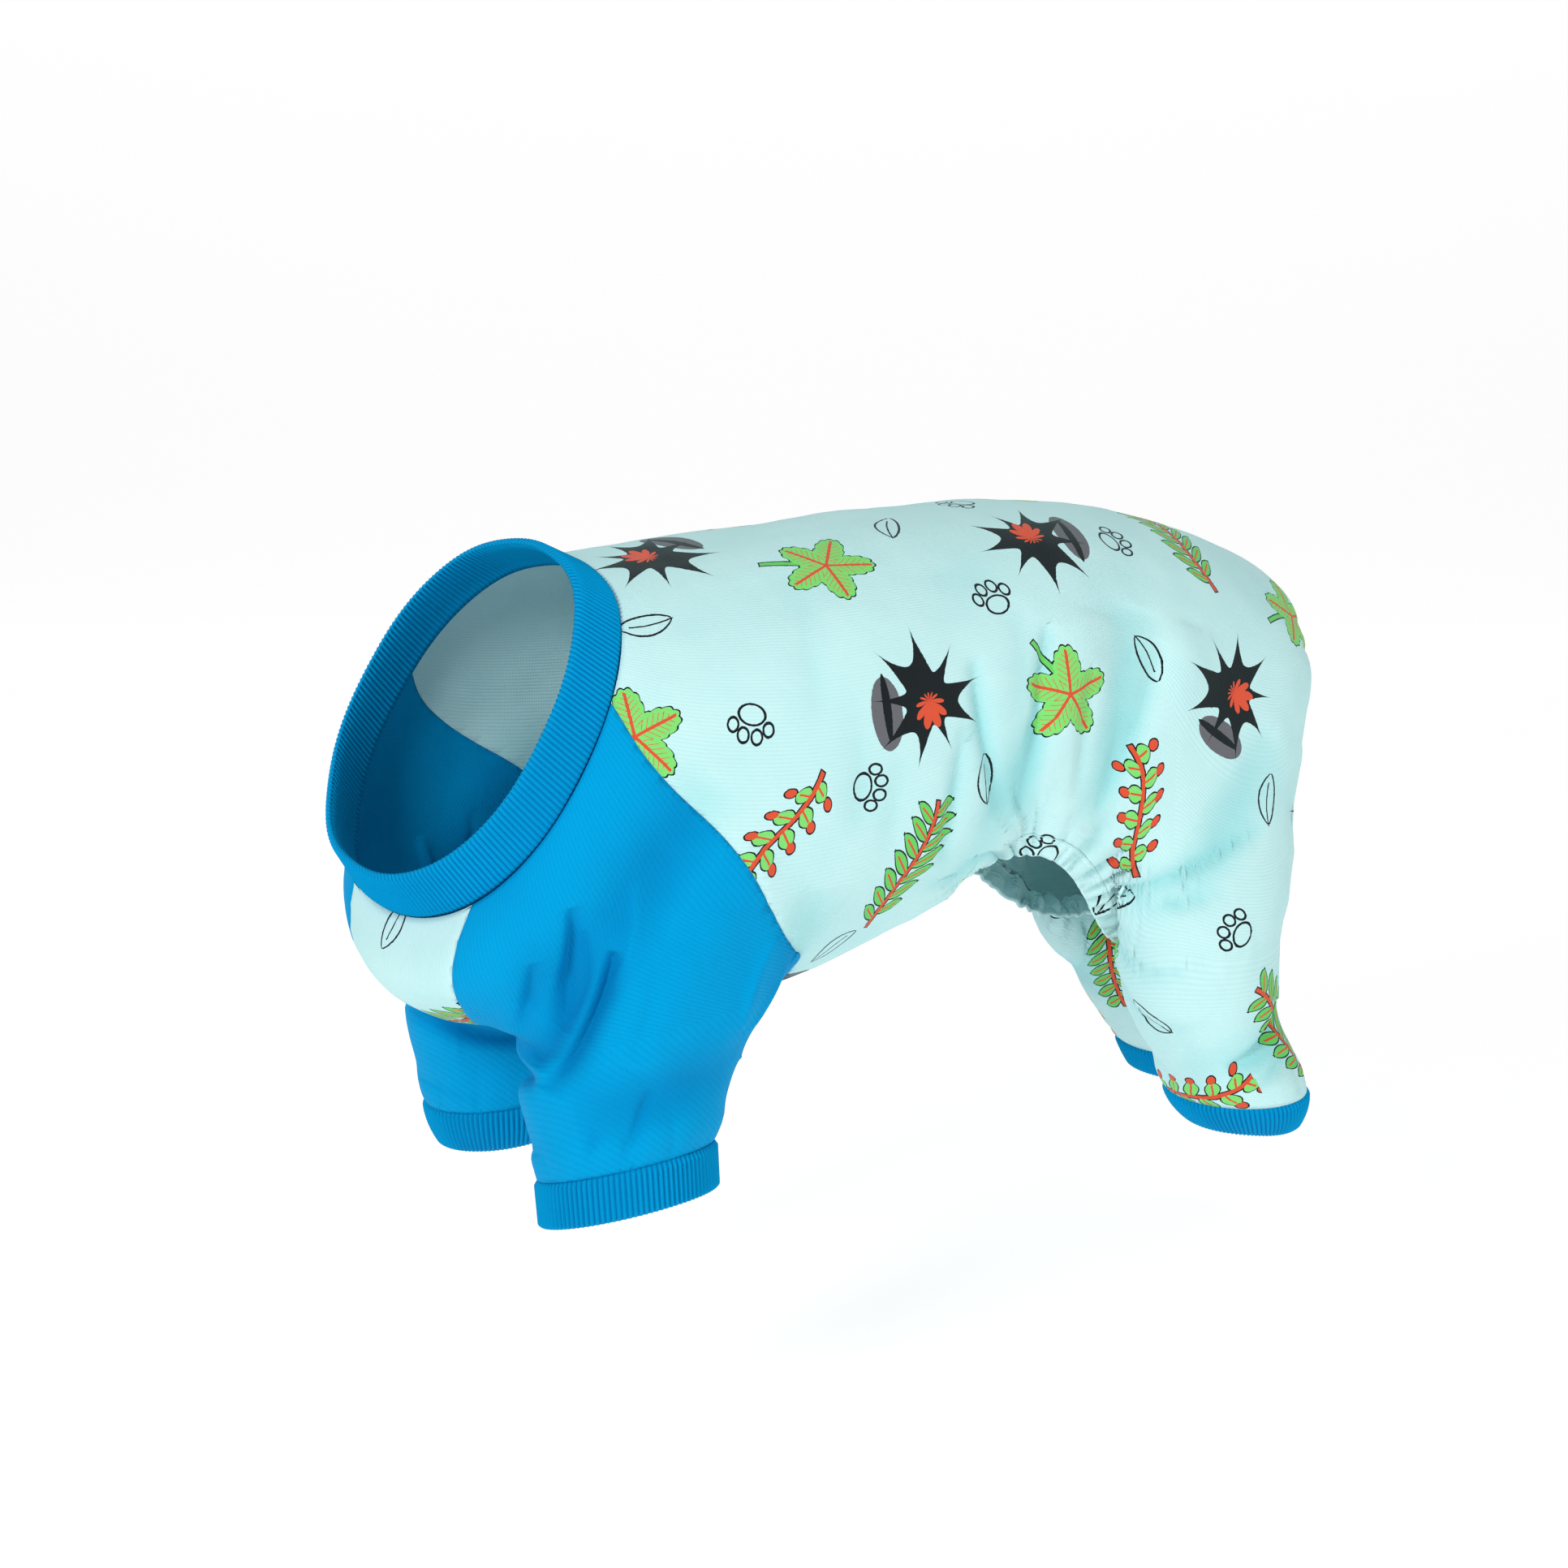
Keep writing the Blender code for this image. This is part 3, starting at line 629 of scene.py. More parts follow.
def add_mesh(name, points, faces, materials, kinds=None, maps=()):
    """A smooth shaded object. kinds gives each face's material, and maps its corners' places."""
    mesh = bpy.data.meshes.new(name)
    mesh.from_pydata(points.tolist(), [], faces)
    for material in materials:
        mesh.materials.append(material)
    if kinds is not None:
        mesh.polygons.foreach_set("material_index", np.asarray(kinds, np.int32))
    for label, values in maps:
        layer = mesh.uv_layers.new(name=label)
        layer.data.foreach_set("uv", np.asarray(values, np.float32).ravel())
    mesh.shade_smooth()
    mesh.validate()
    piece = bpy.data.objects.new(name, mesh)
    bpy.context.scene.collection.objects.link(piece)
    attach(piece, "root")
    return piece


def add_band(name, node, sheet, loop, height, taper, curl, material):
    """A folded rib band with its ribs, carrying on from an open edge. curl draws its end in."""
    places, flat, onward = axis_frames(sheet, loop, taper)
    perimeter = np.linalg.norm(np.roll(places, -1, axis=0) - places, axis=1).sum()
    samples = 6
    ribs = round(perimeter / RIB_PITCH)
    places, flat, onward = resampled(places, ribs * samples, places, flat, onward)[1:]
    half = RIB_CLOTH / 2
    turn = [math.pi * i / 6 for i in range(1, 6)]
    outline = [(0.0, 0.0006, 0.2), (0.0010, 0.0001, 0.6)]
    outline += [(0.002 + (height - half - 0.002) * i / 6, -0.0003, 1.0) for i in range(7)]
    outline += [(height - half + half * math.sin(a), half - half * math.cos(a), 0.9) for a in turn]
    outline += [((height - half) * (1 - i / 4), RIB_CLOTH, -0.8) for i in range(5)]
    outline += [(-0.002, RIB_CLOTH + 0.0006, 0.0), (-0.002, RIB_CLOTH, 0.0), (0.0, 0.0018, 0.0)]
    phase = 2 * math.pi * np.arange(ribs * samples) / samples
    ridge = (np.cos(phase) + 0.25 * np.cos(2 * phase)) * RIB_HEIGHT
    rows = []
    for along, inset, rib in outline:
        away = ridge * rib - inset - curl * along**2 / height
        sag = 0.0004 * waves(places, 0.05, 5)
        rows.append(places + onward * (along + SEAM_HALF_GAP) + flat * (away + sag)[:, None])
    count, depth = ribs * samples, len(outline)
    points = np.array(rows).transpose(1, 0, 2).reshape(-1, 3)
    faces, map_places = [], []
    for i in range(count):
        after = (i + 1) % count
        for j in range(depth):
            onto = (j + 1) % depth
            faces.append((i * depth + j, after * depth + j, after * depth + onto, i * depth + onto))
            low, high = outline[j][0], outline[onto][0]
            one, two = (i / samples + 0.5) * RIB_PITCH, ((i + 1) / samples + 0.5) * RIB_PITCH
            map_places += [(one, low), (two, low), (two, high), (one, high)]
    start, end = points[faces[0][0]], points[faces[0][1]]
    facing = np.cross(end - start, points[faces[0][3]] - start) @ flat[0]
    if facing < 0:
        faces = [face[::-1] for face in faces]
        map_places = np.array(map_places).reshape(-1, 4, 2)[:, ::-1]
    piece = add_mesh(name, points, faces, [material], None, [("knit", map_places)])
    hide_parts(node)
    round(height * 1.15, 4)
    return piece


def shell(sheet, thickness, sunk, rounding):
    """A sheet made thick, inwards: points, faces, and 0, 1 or 2 for an outer, inner or edge face.
    sunk lowers the seam edges, and rounding, one number for each point, swells a free edge."""
    outer, normals = sheet["points"].copy(), sheet["normals"]
    loops = edge_loops(sheet["faces"])
    for loop in loops:
        outer[loop] -= normals[loop] * sunk
    inner = outer - normals * thickness
    count = len(outer)
    faces = list(sheet["faces"]) + [tuple(v + count for v in f[::-1]) for f in sheet["faces"]]
    kinds = [0] * len(sheet["faces"]) + [1] * len(sheet["faces"])
    points = [outer, inner]
    total = 2 * count
    for loop in loops:
        places = outer[loop]
        along = np.roll(places, -1, axis=0) - np.roll(places, 1, axis=0)
        away = np.cross(along, normals[loop])
        away /= np.maximum(np.linalg.norm(away, axis=1), 1e-9)[:, None]
        middle = (places + inner[loop]) / 2 + away * (rounding[loop] * thickness)[:, None]
        points.append(middle)
        for i, v in enumerate(loop):
            after = (i + 1) % len(loop)
            w, a, b = loop[after], total + i, total + after
            faces += [(w, v, a, b), (b, a, v + count, w + count)]
            kinds += [2, 2]
        total += len(loop)
    return np.vstack(points), faces, kinds


# The print: anchors scattered over the cloth, each with its motif drawn in one tile of a map.
TILE = 0.078
BIG_SPACING = 0.066
SMALL_SPACING = 0.052
SMALL_CLEARANCE = 0.041
SMALL_REACH = 0.0120
MOTIF_SCALE = 1.13
MOTIF_WEIGHTS = (1.0, 1.1, 2.3, 0.6)
MOTIFS = 6


def middles_of(sheet):
    """The middle and the unit normal of each face."""
    middles = np.array([sheet["rest"][list(f)].mean(axis=0) for f in sheet["faces"]])
    facing = np.array([sheet["normals"][list(f)].mean(axis=0) for f in sheet["faces"]])
    return middles, facing / np.linalg.norm(facing, axis=1)[:, None]


def scattered(places, normals, spacing, random, avoid=(), clear=0.0):
    """Places closely packed over the cloth, none nearer to another than spacing."""
    def apart(at):
        opposite = np.clip(-(normals @ normals[at]), 0, 1)
        return np.linalg.norm(places - places[at], axis=1) + 0.05 * opposite

    free = np.ones(len(places), bool)
    for at in avoid:
        free &= apart(at) > clear
    nearest = random.uniform(0.9, 1.0, len(places))
    picked = []
    while free.any():
        nearest += random.uniform(0, 0.004, len(places))
        picked.append(int(np.argmin(np.where(free, nearest, np.inf))))
        off = apart(picked[-1])
        nearest = np.minimum(nearest, off)
        free &= off > spacing
    return picked


def spread_kinds(places):
    """A kind for each of the large motifs, so that like ones lie far apart."""
    kinds = []
    for k, place in enumerate(places):
        scores = []
        for kind, weight in enumerate(MOTIF_WEIGHTS):
            same = [np.linalg.norm(place - places[i]) for i in range(k) if kinds[i] == kind]
            scores.append(min(same, default=0.3) - 0.035 * len(same) / weight)
        kinds.append(scores.index(max(scores)))
    return kinds


def print_anchors(sheet):
    """Where the printed motifs lie: their places, normals, two directions, kinds, and how many
    of them are large."""
    middles, facing = middles_of(sheet)
    random = np.random.default_rng(PRINT_SEED)
    big = scattered(middles, facing, BIG_SPACING, random)
    small = scattered(middles, facing, SMALL_SPACING, random, big, SMALL_CLEARANCE)
    kinds = spread_kinds(middles[big])
    kinds += [len(MOTIF_WEIGHTS) + i % (MOTIFS - len(MOTIF_WEIGHTS)) for i in range(len(small))]
    anchors = big + small
    across, up = [], []
    for anchor, angle in zip(anchors, random.uniform(0, 2 * math.pi, len(anchors))):
        first = np.cross(facing[anchor], (0.3, 0.1, 1.0))
        first /= np.linalg.norm(first)
        second = np.cross(facing[anchor], first)
        across.append(first * math.cos(angle) + second * math.sin(angle))
        up.append(second * math.cos(angle) - first * math.sin(angle))
    return middles[anchors], facing[anchors], np.array(across), np.array(up), kinds, len(big)


def print_map(sheet, anchors):
    """For each corner of each face, its place on the tiles of the printed motifs."""
    places, normals, across, up, kinds, large = anchors
    points, faces = sheet["rest"], sheet["faces"]
    middles, facing = middles_of(sheet)
    nearest, owner = np.full(len(faces), np.inf), np.zeros(len(faces), int)
    for k, (place, normal) in enumerate(zip(places, normals)):
        off = np.linalg.norm(middles - place, axis=1)
        off = off + 0.05 * np.clip(0.1 - facing @ normal, 0, 1)
        if k >= large:
            off = np.where(off < SMALL_REACH, off - 1, np.inf)
        closer = off < nearest
        nearest[closer] = off[closer]
        owner[closer] = k
    sizes = [len(f) for f in faces]
    turned_away = np.repeat((facing * normals[owner]).sum(axis=1) < 0.3, sizes)
    corner = np.concatenate([list(f) for f in faces])
    owner = np.repeat(owner, sizes)
    off = points[corner] - places[owner]
    flat = np.stack([(off * across[owner]).sum(1), (off * up[owner]).sum(1)], 1)
    long = np.linalg.norm(off, axis=1) / np.maximum(np.linalg.norm(flat, axis=1), 1e-6)
    flat *= np.clip(long, 1, 1.3)[:, None]
    found = np.clip(flat / TILE, -0.49, 0.49) + 0.5
    found[:, 0] += np.where(turned_away, MOTIFS, np.array(kinds)[owner])
    return found


def knit_map(sheet, turn):
    """For each corner, its place in metres along and across the rows of the knit."""
    charts = sheet["charts"]
    along = sheet["rest"][:, 0]
    across = (charts[:, 1] + 0.85 * charts[:, 2]) * CAGE_PITCH
    corner = np.concatenate([list(f) for f in sheet["faces"]])
    c, s = math.cos(math.radians(turn)), math.sin(math.radians(turn))
    return np.stack([along * c + across * s, across * c - along * s], 1)[corner]


class Field:
    """A number that varies over the surface, worked out by a material's math nodes."""

    def __init__(self, tree, socket):
        self.tree, self.socket = tree, socket

    def made(self, operation, *others):
        node = self.tree.nodes.new("ShaderNodeMath")
        node.operation = operation
        for slot, value in zip(node.inputs, (self, *others)):
            if isinstance(value, Field):
                self.tree.links.new(value.socket, slot)
            else:
                slot.default_value = value
        return Field(self.tree, node.outputs[0])

    def __add__(self, other):
        return self.made("ADD", other)

    def __sub__(self, other):
        return self.made("SUBTRACT", other)

    def __mul__(self, other):
        return self.made("MULTIPLY", other)

    def __truediv__(self, other):
        return self.made("DIVIDE", other)

    def __abs__(self):
        return self.made("ABSOLUTE")

    def under(self, other):
        return self.made("LESS_THAN", other)

    def over(self, other):
        return self.made("GREATER_THAN", other)

    def sine(self, rate=1.0, start=0.0):
        return (self * rate + start).made("SINE")

    def cosine(self, rate=1.0, start=0.0):
        return (self * rate + start).made("COSINE")

    def power(self, exponent):
        return self.made("POWER", exponent)

    def least(self, other):
        return self.made("MINIMUM", other)

    def most(self, other):
        return self.made("MAXIMUM", other)

    def whole(self):
        return self.made("ROUND")

    def floor(self):
        return self.made("FLOOR")


def length_of(x, y):
    return (x * x + y * y).made("SQRT")


def oval(x, y, centre, radii, turn=0.0):
    """Below zero inside an oval, and about the distance outside it in the units of x and y."""
    c, s = math.cos(turn), math.sin(turn)
    x, y = x - centre[0], y - centre[1]
    u, v = x * c + y * s, y * c - x * s
    return (length_of(u / radii[0], v / radii[1]) - 1.0) * min(radii)


# Colours of the print, linear.
INK = (0.006, 0.006, 0.008)
GREEN = (0.125, 0.560, 0.110)
LIGHT_GREEN = (0.190, 0.640, 0.150)
CORAL = (0.640, 0.075, 0.030)
GREY = (0.120, 0.120, 0.135)


def sprig(x, y, reach, width, pitch, rake, berries):
    """A stem with paired leaves: the masks of its outline, leaves, veins and stem."""
    bent = x - y.sine(0.09) * 3.0
    side = abs(bent)
    shifted = y - side * rake - bent.made("SIGN") * (pitch * 0.22)
    number = (shifted / pitch).whole()
    local = abs(shifted - number * pitch)
    span = (number * (pitch / 29.0)).power(2.0)
    length = ((span * -1.0 + 1.0).most(0.02).made("SQRT")) * reach
    leaf = (side / length).least(1.0).sine(math.pi).most(0.0).power(0.7) * width - local
    leaf = leaf.least(length - side).least((abs(number * pitch) * -1.0) + 23.0)
    stem = (abs(bent) * -1.0 + 0.75).least(abs(y) * -1.0 + 26.0)
    outline = leaf.over(-0.6).most((stem + 0.5).over(0.0))
    filled = leaf.over(0.0)
    vein = (local * -1.0 + 0.42).least(leaf).least(length * 0.8 - side).over(0.0)
    stalk = stem.over(0.0)
    if berries:
        dot = length_of(side - reach * 1.05, local) - 1.7
        dot = dot.most(abs(number * pitch) - 20.0)
        outline = outline.most(dot.under(0.5))
        stalk = stalk.most(dot.under(0.0))
    return outline, filled, vein, stalk


def motif_layers(x, y):
    """The motifs: for each tile a list of masks with their colours, in the order of painting."""
    tiles = []
    outline, filled, vein, stalk = sprig(x, y, 11.0, 2.5, 6.6, 0.7, False)
    tiles.append([(outline, INK), (filled, GREEN), (vein, CORAL), (stalk, CORAL)])

    radius, angle = length_of(x, y), y.made("ARCTAN2", x)
    lobes = abs(angle.cosine(2.5, -1.25 * math.pi)).power(1.4)
    teeth = abs(angle.sine(17.0)) * 0.9
    edge = lobes * 8.0 + teeth + 8.2 - radius
    fifth = angle * (5 / (2 * math.pi)) - 1.25
    lean = (fifth - fifth.whole()) * (2 * math.pi / 5)
    vein = abs(radius * lean.sine()) * -1.0 + 0.55
    rung = abs((radius * lean.cosine() - abs(radius * lean.sine()) * 0.8).sine(1.5)) * -1.0 + 0.22
    rung = rung.least(edge - 2.2).least(radius - 3.0).most(vein.least(edge - 1.0))
    stem = (abs(x - y.sine(0.1) * 1.5) * -1.0 + 0.8).least(y * -1.0).least(y + 23.0)
    tiles.append([(edge.over(-0.6).most((stem + 0.5).over(0.0)), INK), (stem.over(0.0), GREEN),
                  (edge.over(0.0), LIGHT_GREEN), (rung.over(0.0), CORAL)])

    fall = y.most(-12.0) / 12.0
    spike = abs(angle.sine(4.5, 0.4)).power(0.35) * -1.0 + 1.0
    spread = angle.sine(3.0, 0.9) * 2.2 + 10.5
    star = spike * 15.0 + spread - radius - fall
    heart = abs(angle.sine(5.5, 1.1)) * 3.4 + 3.0 - length_of(x - 2.0, y - 3.0)
    leaf = oval(x, y, (15.0, -9.0), (12.5, 6.0), 0.9)
    rib = oval(x, y, (13.5, -10.5), (11.5, 1.6), 0.9)
    tiles.append([(leaf.under(0.0), GREY), (rib.under(0.0), INK), (star.over(0.0), INK),
                  (heart.over(0.0), CORAL)])

    outline, filled, vein, stalk = sprig(x, y, 6.6, 3.1, 9.5, 0.45, True)
    tiles.append([(outline, INK), (filled, LIGHT_GREEN), (vein, CORAL), (stalk, CORAL)])

    body = (y / 9.5).least(1.0).most(-1.0)
    body = (body * body * -1.0 + 1.0).power(0.8) * 4.2 - abs(x - body * body * 1.5)
    line = abs(body).under(0.42).least(abs(y).under(9.4))
    rib = abs(x - y * y * 0.016).under(0.3).least(abs(y + 2.0).under(8.0))
    tiles.append([(line.most(rib), INK)])

    side = abs(x)
    paw = oval(x, y, (0.0, -2.6), (4.6, 3.5))
    paw = paw.least(oval(side, y, (2.4, 4.6), (1.9, 2.5))).least(oval(side, y, (6.2, 1.6), (1.8, 2.4)))
    tiles.append([(abs(paw).under(0.38), INK)])
    return tiles


def map_of(tree, name):
    """The two numbers of a map, as fields."""
    node = tree.nodes.new("ShaderNodeUVMap")
    node.uv_map = name
    parts = tree.nodes.new("ShaderNodeSeparateXYZ")
    tree.links.new(node.outputs[0], parts.inputs[0])
    return Field(tree, parts.outputs[0]), Field(tree, parts.outputs[1])


def noise_of(tree, scale, detail=2.0):
    place = tree.nodes.new("ShaderNodeTexCoord")
    noise = tree.nodes.new("ShaderNodeTexNoise")
    noise.inputs["Scale"].default_value = scale
    noise.inputs["Detail"].default_value = detail
    tree.links.new(place.outputs["Object"], noise.inputs["Vector"])
    return Field(tree, noise.outputs[0])


def mixed(tree, below, above, share):
    """A colour socket: above painted over below where share is 1."""
    node = tree.nodes.new("ShaderNodeMix")
    node.data_type = "RGBA"
    for slot, value in ((node.inputs[6], below), (node.inputs[7], above)):
        if isinstance(value, tuple):
            slot.default_value = (*value, 1.0)
        else:
            tree.links.new(value, slot)
    if isinstance(share, Field):
        tree.links.new(share.socket, node.inputs[0])
    else:
        node.inputs[0].default_value = share
    return node.outputs[2]


def cloth_material(name, colours, roughness, knit, printed=False, stitched=False, ribbed=False):
    """A knitted cloth. colours are the ground, its uneven patches and the painted shade in the folds
    and between a band's ribs, and knit is the rows' and the columns' width in metres and the relief."""
    ground, shade, painted_shade = colours
    material = bpy.data.materials.new(name)
    material.use_nodes = True
    tree = material.node_tree
    shader = tree.nodes["Principled BSDF"]
    shader.inputs["Roughness"].default_value = roughness
    shader.inputs["Specular IOR Level"].default_value = 0.2
    shader.inputs["Specular Tint"].default_value = (*ground, 1.0)
    shader.inputs["Sheen Weight"].default_value = 0.22
    shader.inputs["Sheen Roughness"].default_value = 0.5
    shader.inputs["Sheen Tint"].default_value = (*ground, 1.0)
    patchy = (noise_of(tree, 38.0, 3.0) - 0.35) * 1.6
    colour = mixed(tree, ground, shade, patchy.most(0.0).least(1.0))
    if not ribbed:
        # Painted shade: the colour darkens towards the third colour where a fold sinks the cloth.
        fold_painted_shade = map_of(tree, "fold")[0]
        colour = mixed(tree, colour, painted_shade, fold_painted_shade * 0.6)
    u, v = map_of(tree, "knit")
    rows_wide, columns_wide, relief = knit
    rows = abs(v.sine(math.pi / rows_wide))
    columns = abs(u.sine(math.pi / columns_wide))
    height = rows * 0.65 + columns * 0.35
    fuzz = noise_of(tree, 900.0, 2.0)
    height = height + fuzz * 0.5
    # Painted shade: darker in the grooves between the knit's rows.
    colour = mixed(tree, colour, tuple(c * 0.82 for c in shade), (rows * -0.28 + 0.28).most(0.0))
    if ribbed:
        height = columns * 0.3 + rows * 0.4 + fuzz * 0.4
        # Painted shade: darker in the grooves between the ribs.
        colour = mixed(tree, colour, painted_shade, ((columns * -1.5 + 1.1).most(0.0)) * 0.8)
    if printed:
        tile_u, tile_v = map_of(tree, "print")
        tile = tile_u.floor()
        x = (tile_u - tile - 0.5) * (TILE * 1000 / MOTIF_SCALE)
        y = (tile_v - 0.5) * (TILE * 1000 / MOTIF_SCALE)
        frayed = (noise_of(tree, 700.0, 1.0) - 0.5) * 0.35
        x, y = x + frayed, y - frayed
        for number, layers in enumerate(motif_layers(x, y)):
            here = abs(tile - float(number)).under(0.5)
            for mask, ink in layers:
                colour = mixed(tree, colour, ink, mask * here)
    if stitched:  # A row of twin stitches holds the elastic.
        along, inward = map_of(tree, "hem")
        stitch = abs(inward - STITCH_INSET).under(0.00045)
        dash = abs(along.sine(math.pi / STITCH_LENGTH)).over(0.3)
        stitch = stitch * dash
        colour = mixed(tree, colour, tuple(c * 1.08 for c in ground), stitch * 0.7)
        groove = (abs(inward - STITCH_INSET) / 0.0016).least(1.0)
        height = height + stitch * 2.5 + groove * 1.5
    bump = tree.nodes.new("ShaderNodeBump")
    bump.inputs["Strength"].default_value = 0.6
    bump.inputs["Distance"].default_value = relief
    tree.links.new(height.socket, bump.inputs["Height"])
    tree.links.new(bump.outputs[0], shader.inputs["Normal"])
    tree.links.new(colour, shader.inputs["Base Color"])
    return material


def plain_material(name, colour, roughness, glow):
    material = bpy.data.materials.new(name)
    material.use_nodes = True
    shader = material.node_tree.nodes["Principled BSDF"]
    shader.inputs["Base Color"].default_value = (*colour, 1.0)
    shader.inputs["Roughness"].default_value = roughness
    shader.inputs["Specular IOR Level"].default_value = 0.1
    shader.inputs["Emission Color"].default_value = (1.0, 1.0, 1.0, 1.0)
    shader.inputs["Emission Strength"].default_value = glow
    return material


def add_cloth(name, nodes, sheet, thickness, materials, turn, anchors, hem=False):
    """One panel: its shell, its maps, and what it stands for."""
    rounding = np.zeros(len(sheet["points"]))
    if hem:
        rounding = np.where(sheet["edge"][:, 0] < 0.0008, 0.45, 0.0)
    points, faces, kinds = shell(sheet, thickness, 0.0 if hem else 0.00035, rounding)
    sizes = [len(f) for f in sheet["faces"]]
    maps = []
    corner = np.concatenate([list(f) for f in sheet["faces"]])
    # The fold map carries the painted shade of the folds to the materials.
    values = [("knit", knit_map(sheet, turn)), ("fold", sheet["edge"][corner][:, [2, 2]])]
    if anchors is not None:
        values.append(("print", print_map(sheet, anchors)))
    if hem:
        values.append(("hem", sheet["edge"][corner][:, [1, 0]]))
    starts = np.concatenate([[0], np.cumsum(sizes)])
    backward = np.concatenate([np.arange(a, b)[::-1] for a, b in zip(starts[:-1], starts[1:])])
    rest = sum(len(f) for f in faces) - 2 * len(backward)
    for label, value in values:
        maps.append((label, np.vstack([value, value[backward], np.zeros((rest, 2)) + 0.001])))
    piece = add_mesh(name, points, faces, materials, [0 if k == 0 else 1 for k in kinds], maps)
    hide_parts(*nodes)
    return piece


def lifted(sheet, opening, rings):
    """How far folds, pleats and unevenness lift each point, and its place along the opening."""
    distance, along, perimeter = nearest_on_loop(sheet["rest"], opening)
    lift = fold_heights(sheet) + 0.0004 * waves(sheet["rest"], 0.045, 3)
    lift += 0.00012 * waves(sheet["rest"], 0.014, 4)
    lift *= smoothstep(distance, 0.0, 0.012)
    for ring in rings:
        gap, at, length = nearest_on_loop(sheet["rest"], ring)
        lift *= smoothstep(gap, 0.001, 0.014)
        if length < 0.35:
            lift += gather_heights(gap, at, length, CUFF_PLEATS) * smoothstep(gap, 0.0, 0.003)
            lift += 0.0009 * np.exp(-(((gap - 0.009) / 0.006) ** 2))
    lift += gather_heights(distance, along, perimeter, OPENING_PLEATS)
    return lift, distance, along


def dressed_sheet():
    """The whole cloth with its folds and pleats, its open rings, and its unfolded normals."""
    whole = smoothed_sheet()
    anchors = print_anchors(whole)
    loops = edge_loops(whole["faces"])
    opening = max(loops, key=len)
    rings = [loop for loop in loops if loop is not opening]
    opening_line = whole["rest"][opening]
    ring_lines = [whole["rest"][ring] for ring in rings]
    lift, distance, along = lifted(whole, opening_line, ring_lines)
    for share, steep, reach in ((0.19, 0.0003, 0.018), (0.055, 0.0005, 0.007)):
        sleeve = seam_fields(whole)[1] > 0
        rise = np.array([np.ptp(lift[list(f)]) for f in whole["faces"]])
        near = np.array([distance[list(f)].mean() < reach for f in whole["faces"]])
        creased = np.array([sleeve[f[0]] for f in whole["faces"]]) & (rise > steep)
        whole = refined(whole, near | creased | (rise > np.quantile(rise, 1 - share)))
        lift, distance, along = lifted(whole, opening_line, ring_lines)
    # How far each point sinks into a fold, kept in the edge layer for the painted shade of the folds.
    fold_painted_shade = np.clip(-lift / FOLD_SHADE_DEPTH, 0, 1)
    whole["edge"] = np.stack([distance, along, fold_painted_shade], 1)
    whole["points"] = whole["rest"] + whole["normals"] * lift[:, None]
    smooth_normals = whole["normals"].copy()
    whole["normals"] = vertex_normals(whole["points"], whole["faces"])
    return whole, rings, smooth_normals, anchors


# Colours of the cloth, linear: the ground, its uneven patches, and the painted shade in the folds and
# between a band's ribs.
AQUA = ((0.510, 0.765, 0.768), (0.468, 0.740, 0.748), (0.155, 0.585, 0.610))
AQUA_REVERSE = ((0.600, 0.850, 0.860), (0.540, 0.815, 0.825), (0.300, 0.690, 0.710))
BLUE = ((0.001, 0.300, 0.610), (0.001, 0.275, 0.575), (0.001, 0.130, 0.360))
BLUE_RIB = ((0.001, 0.285, 0.580), (0.001, 0.265, 0.550), (0.001, 0.120, 0.320))


def main():
    whole, rings, smooth_normals, anchors = dressed_sheet()
    knit = (0.00107, 0.00085, 0.00022)
    open_knit = (0.0019, 0.0016, 0.00030)
    rib_knit = (0.0009, RIB_PITCH, 0.00015)
    aqua = cloth_material("aqua_print", AQUA, 0.86, knit, printed=True)
    aqua_hem = cloth_material("aqua_hem", AQUA, 0.86, knit, printed=True, stitched=True)
    aqua_back = cloth_material("aqua_reverse", AQUA_REVERSE, 0.9, knit)
    blue = cloth_material("blue_jersey", BLUE, 0.82, open_knit)
    blue_back = cloth_material("blue_reverse", BLUE, 0.9, knit)
    rib = cloth_material("blue_rib", BLUE_RIB, 0.84, rib_knit, ribbed=True)

    bare = {**whole, "normals": smooth_normals}
    neck_middle = (trunk_point(0, 0, 1) + trunk_point(0, COLUMNS, 1)) / 2
    neck = min(rings, key=lambda r: np.linalg.norm(whole["rest"][r].mean(axis=0) - neck_middle))
    add_band("neckband_rib", "neckband", bare, neck, NECKBAND_WIDTH, 0.3, 0.0, rib)
    for ring in rings:
        if ring is neck:
            continue
        middle = whole["rest"][ring].mean(axis=0)
        word = "near" if middle[1] < 0 else "far"
        leg, height = ("front", FRONT_CUFF_HEIGHT) if middle[0] < 0 else ("hind", HIND_CUFF_HEIGHT)
        curl = CUFF_CURL[leg, word]
        name = f"{leg}_cuff_{word}"
        add_band(f"{name}_rib", name, bare, ring, height, 0.02, curl, rib)

    from_edge = whole["edge"][:, 0] + HEM_WIDTH * whole["charts"][:, 2] * 4
    hem = clipped(whole, HEM_WIDTH - from_edge)
    cloth = clipped(whole, from_edge - HEM_WIDTH - SEAM_HALF_GAP)
    chest, sleeve = seam_fields(cloth)
    chest_sheet = clipped(cloth, chest - SEAM_HALF_GAP)
    sleeves = clipped(cloth, sleeve - SEAM_HALF_GAP)
    body = clipped(cloth, -chest - SEAM_HALF_GAP)
    body = largest_piece(clipped(body, -seam_fields(body)[1] - SEAM_HALF_GAP))
    add_cloth("hem_cloth", ["belly_hem"], hem, HEM_CLOTH, [aqua_hem, aqua_back], 0,
              anchors, True)
    add_cloth("body_cloth", ["body_panel", "hind_leg_near", "hind_leg_far"], body, CLOTH,
              [aqua, aqua_back], 0, anchors)
    add_cloth("chest_cloth", ["chest_panel"], chest_sheet, CLOTH, [aqua, aqua_back], 0,
              anchors)
    for side, word, area in ((-1, "near", 0.0256), (1, "far", 0.0283)):
        add_cloth(f"sleeve_{word}_cloth", [f"sleeve_{word}"], one_side(sleeves, side), CLOTH,
                  [blue, blue_back], 38, None)


main()


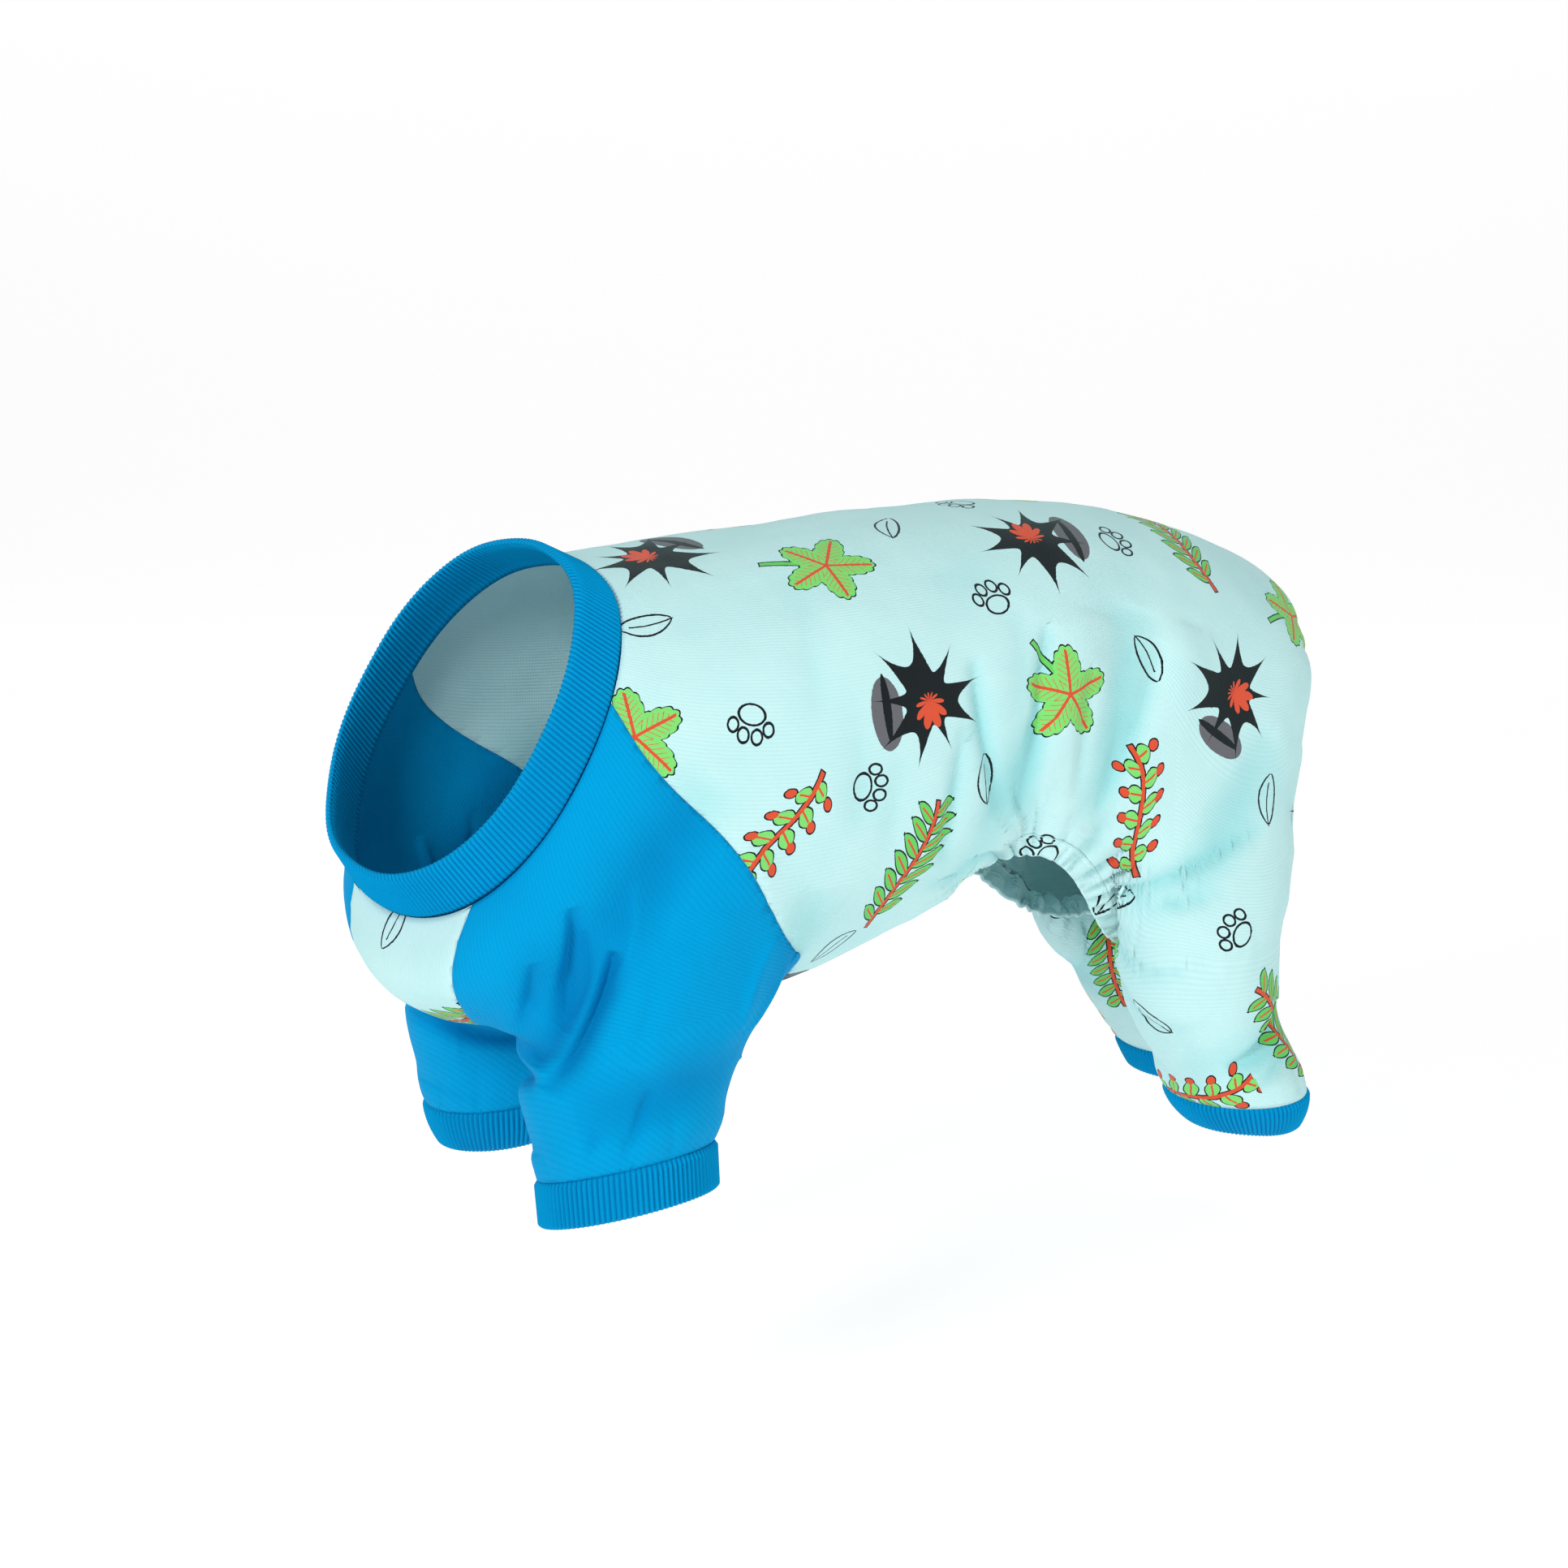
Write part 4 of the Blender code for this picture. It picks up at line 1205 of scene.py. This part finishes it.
def add_backdrop():
    """A wide pale floor that curves up into a wall far behind."""
    profile = [(-12.0, 0.0), (2.2, 0.0)]
    profile += [(2.2 + 1.2 * math.sin(a), 1.2 - 1.2 * math.cos(a)) for a in np.linspace(0.1, 1.5, 12)]
    profile += [(3.4, 4.0)]
    way = np.array([0.4908, 0.8501])
    across = np.array([way[1], -way[0]])
    points = []
    for ahead, up in profile:
        reach = 4.0 if up else 12.0
        for side in (-reach, reach):
            points.append((*(way * ahead + across * side), FLOOR + up))
    faces = [(2 * i, 2 * i + 1, 2 * i + 3, 2 * i + 2) for i in range(len(profile) - 1)]
    mesh = bpy.data.meshes.new("backdrop")
    mesh.from_pydata(points, [], faces)
    mesh.materials.append(plain_material("backdrop_white", (0.45, 0.45, 0.45), 0.95, 0.72))
    mesh.shade_smooth()
    backdrop = bpy.data.objects.new("backdrop", mesh)
    bpy.context.scene.collection.objects.link(backdrop)


def add_light(name, place, target, size, energy):
    lamp = bpy.data.lights.new(name, "AREA")
    lamp.shape = "DISK"
    lamp.size = size
    lamp.energy = energy
    light = bpy.data.objects.new(name, lamp)
    light.location = place
    light.rotation_euler = (Vector(target) - Vector(place)).to_track_quat("-Z", "Y").to_euler()
    bpy.context.scene.collection.objects.link(light)


FLOOR = -0.3575
add_backdrop()
world = bpy.data.worlds.new("studio")
world.use_nodes = True
world.node_tree.nodes["Background"].inputs["Color"].default_value = (1.0, 1.0, 1.0, 1.0)
world.node_tree.nodes["Background"].inputs["Strength"].default_value = 0.31
bpy.context.scene.world = world
bpy.context.scene.view_settings.view_transform = "Standard"
MIDDLE = (-0.02, 0.0, -0.13)
add_light("key", (-1.4, -0.7, 0.6), MIDDLE, 0.5, 15)
add_light("top", (-0.2, 0.1, 1.6), MIDDLE, 0.9, 5)
add_light("fill", (0.5, -1.7, 0.1), MIDDLE, 1.0, 11)

camera_data = bpy.data.cameras.new("camera")
camera_data.sensor_width = 36
camera_data.lens = 62.8
camera = bpy.data.objects.new("camera", camera_data)
camera.location = (-0.6144, -0.9406, 0.1019)
way = Vector((-0.05, 0.037, -0.1175)) - camera.location
camera.rotation_euler = way.to_track_quat("-Z", "Y").to_euler()
bpy.context.scene.collection.objects.link(camera)
bpy.context.scene.camera = camera
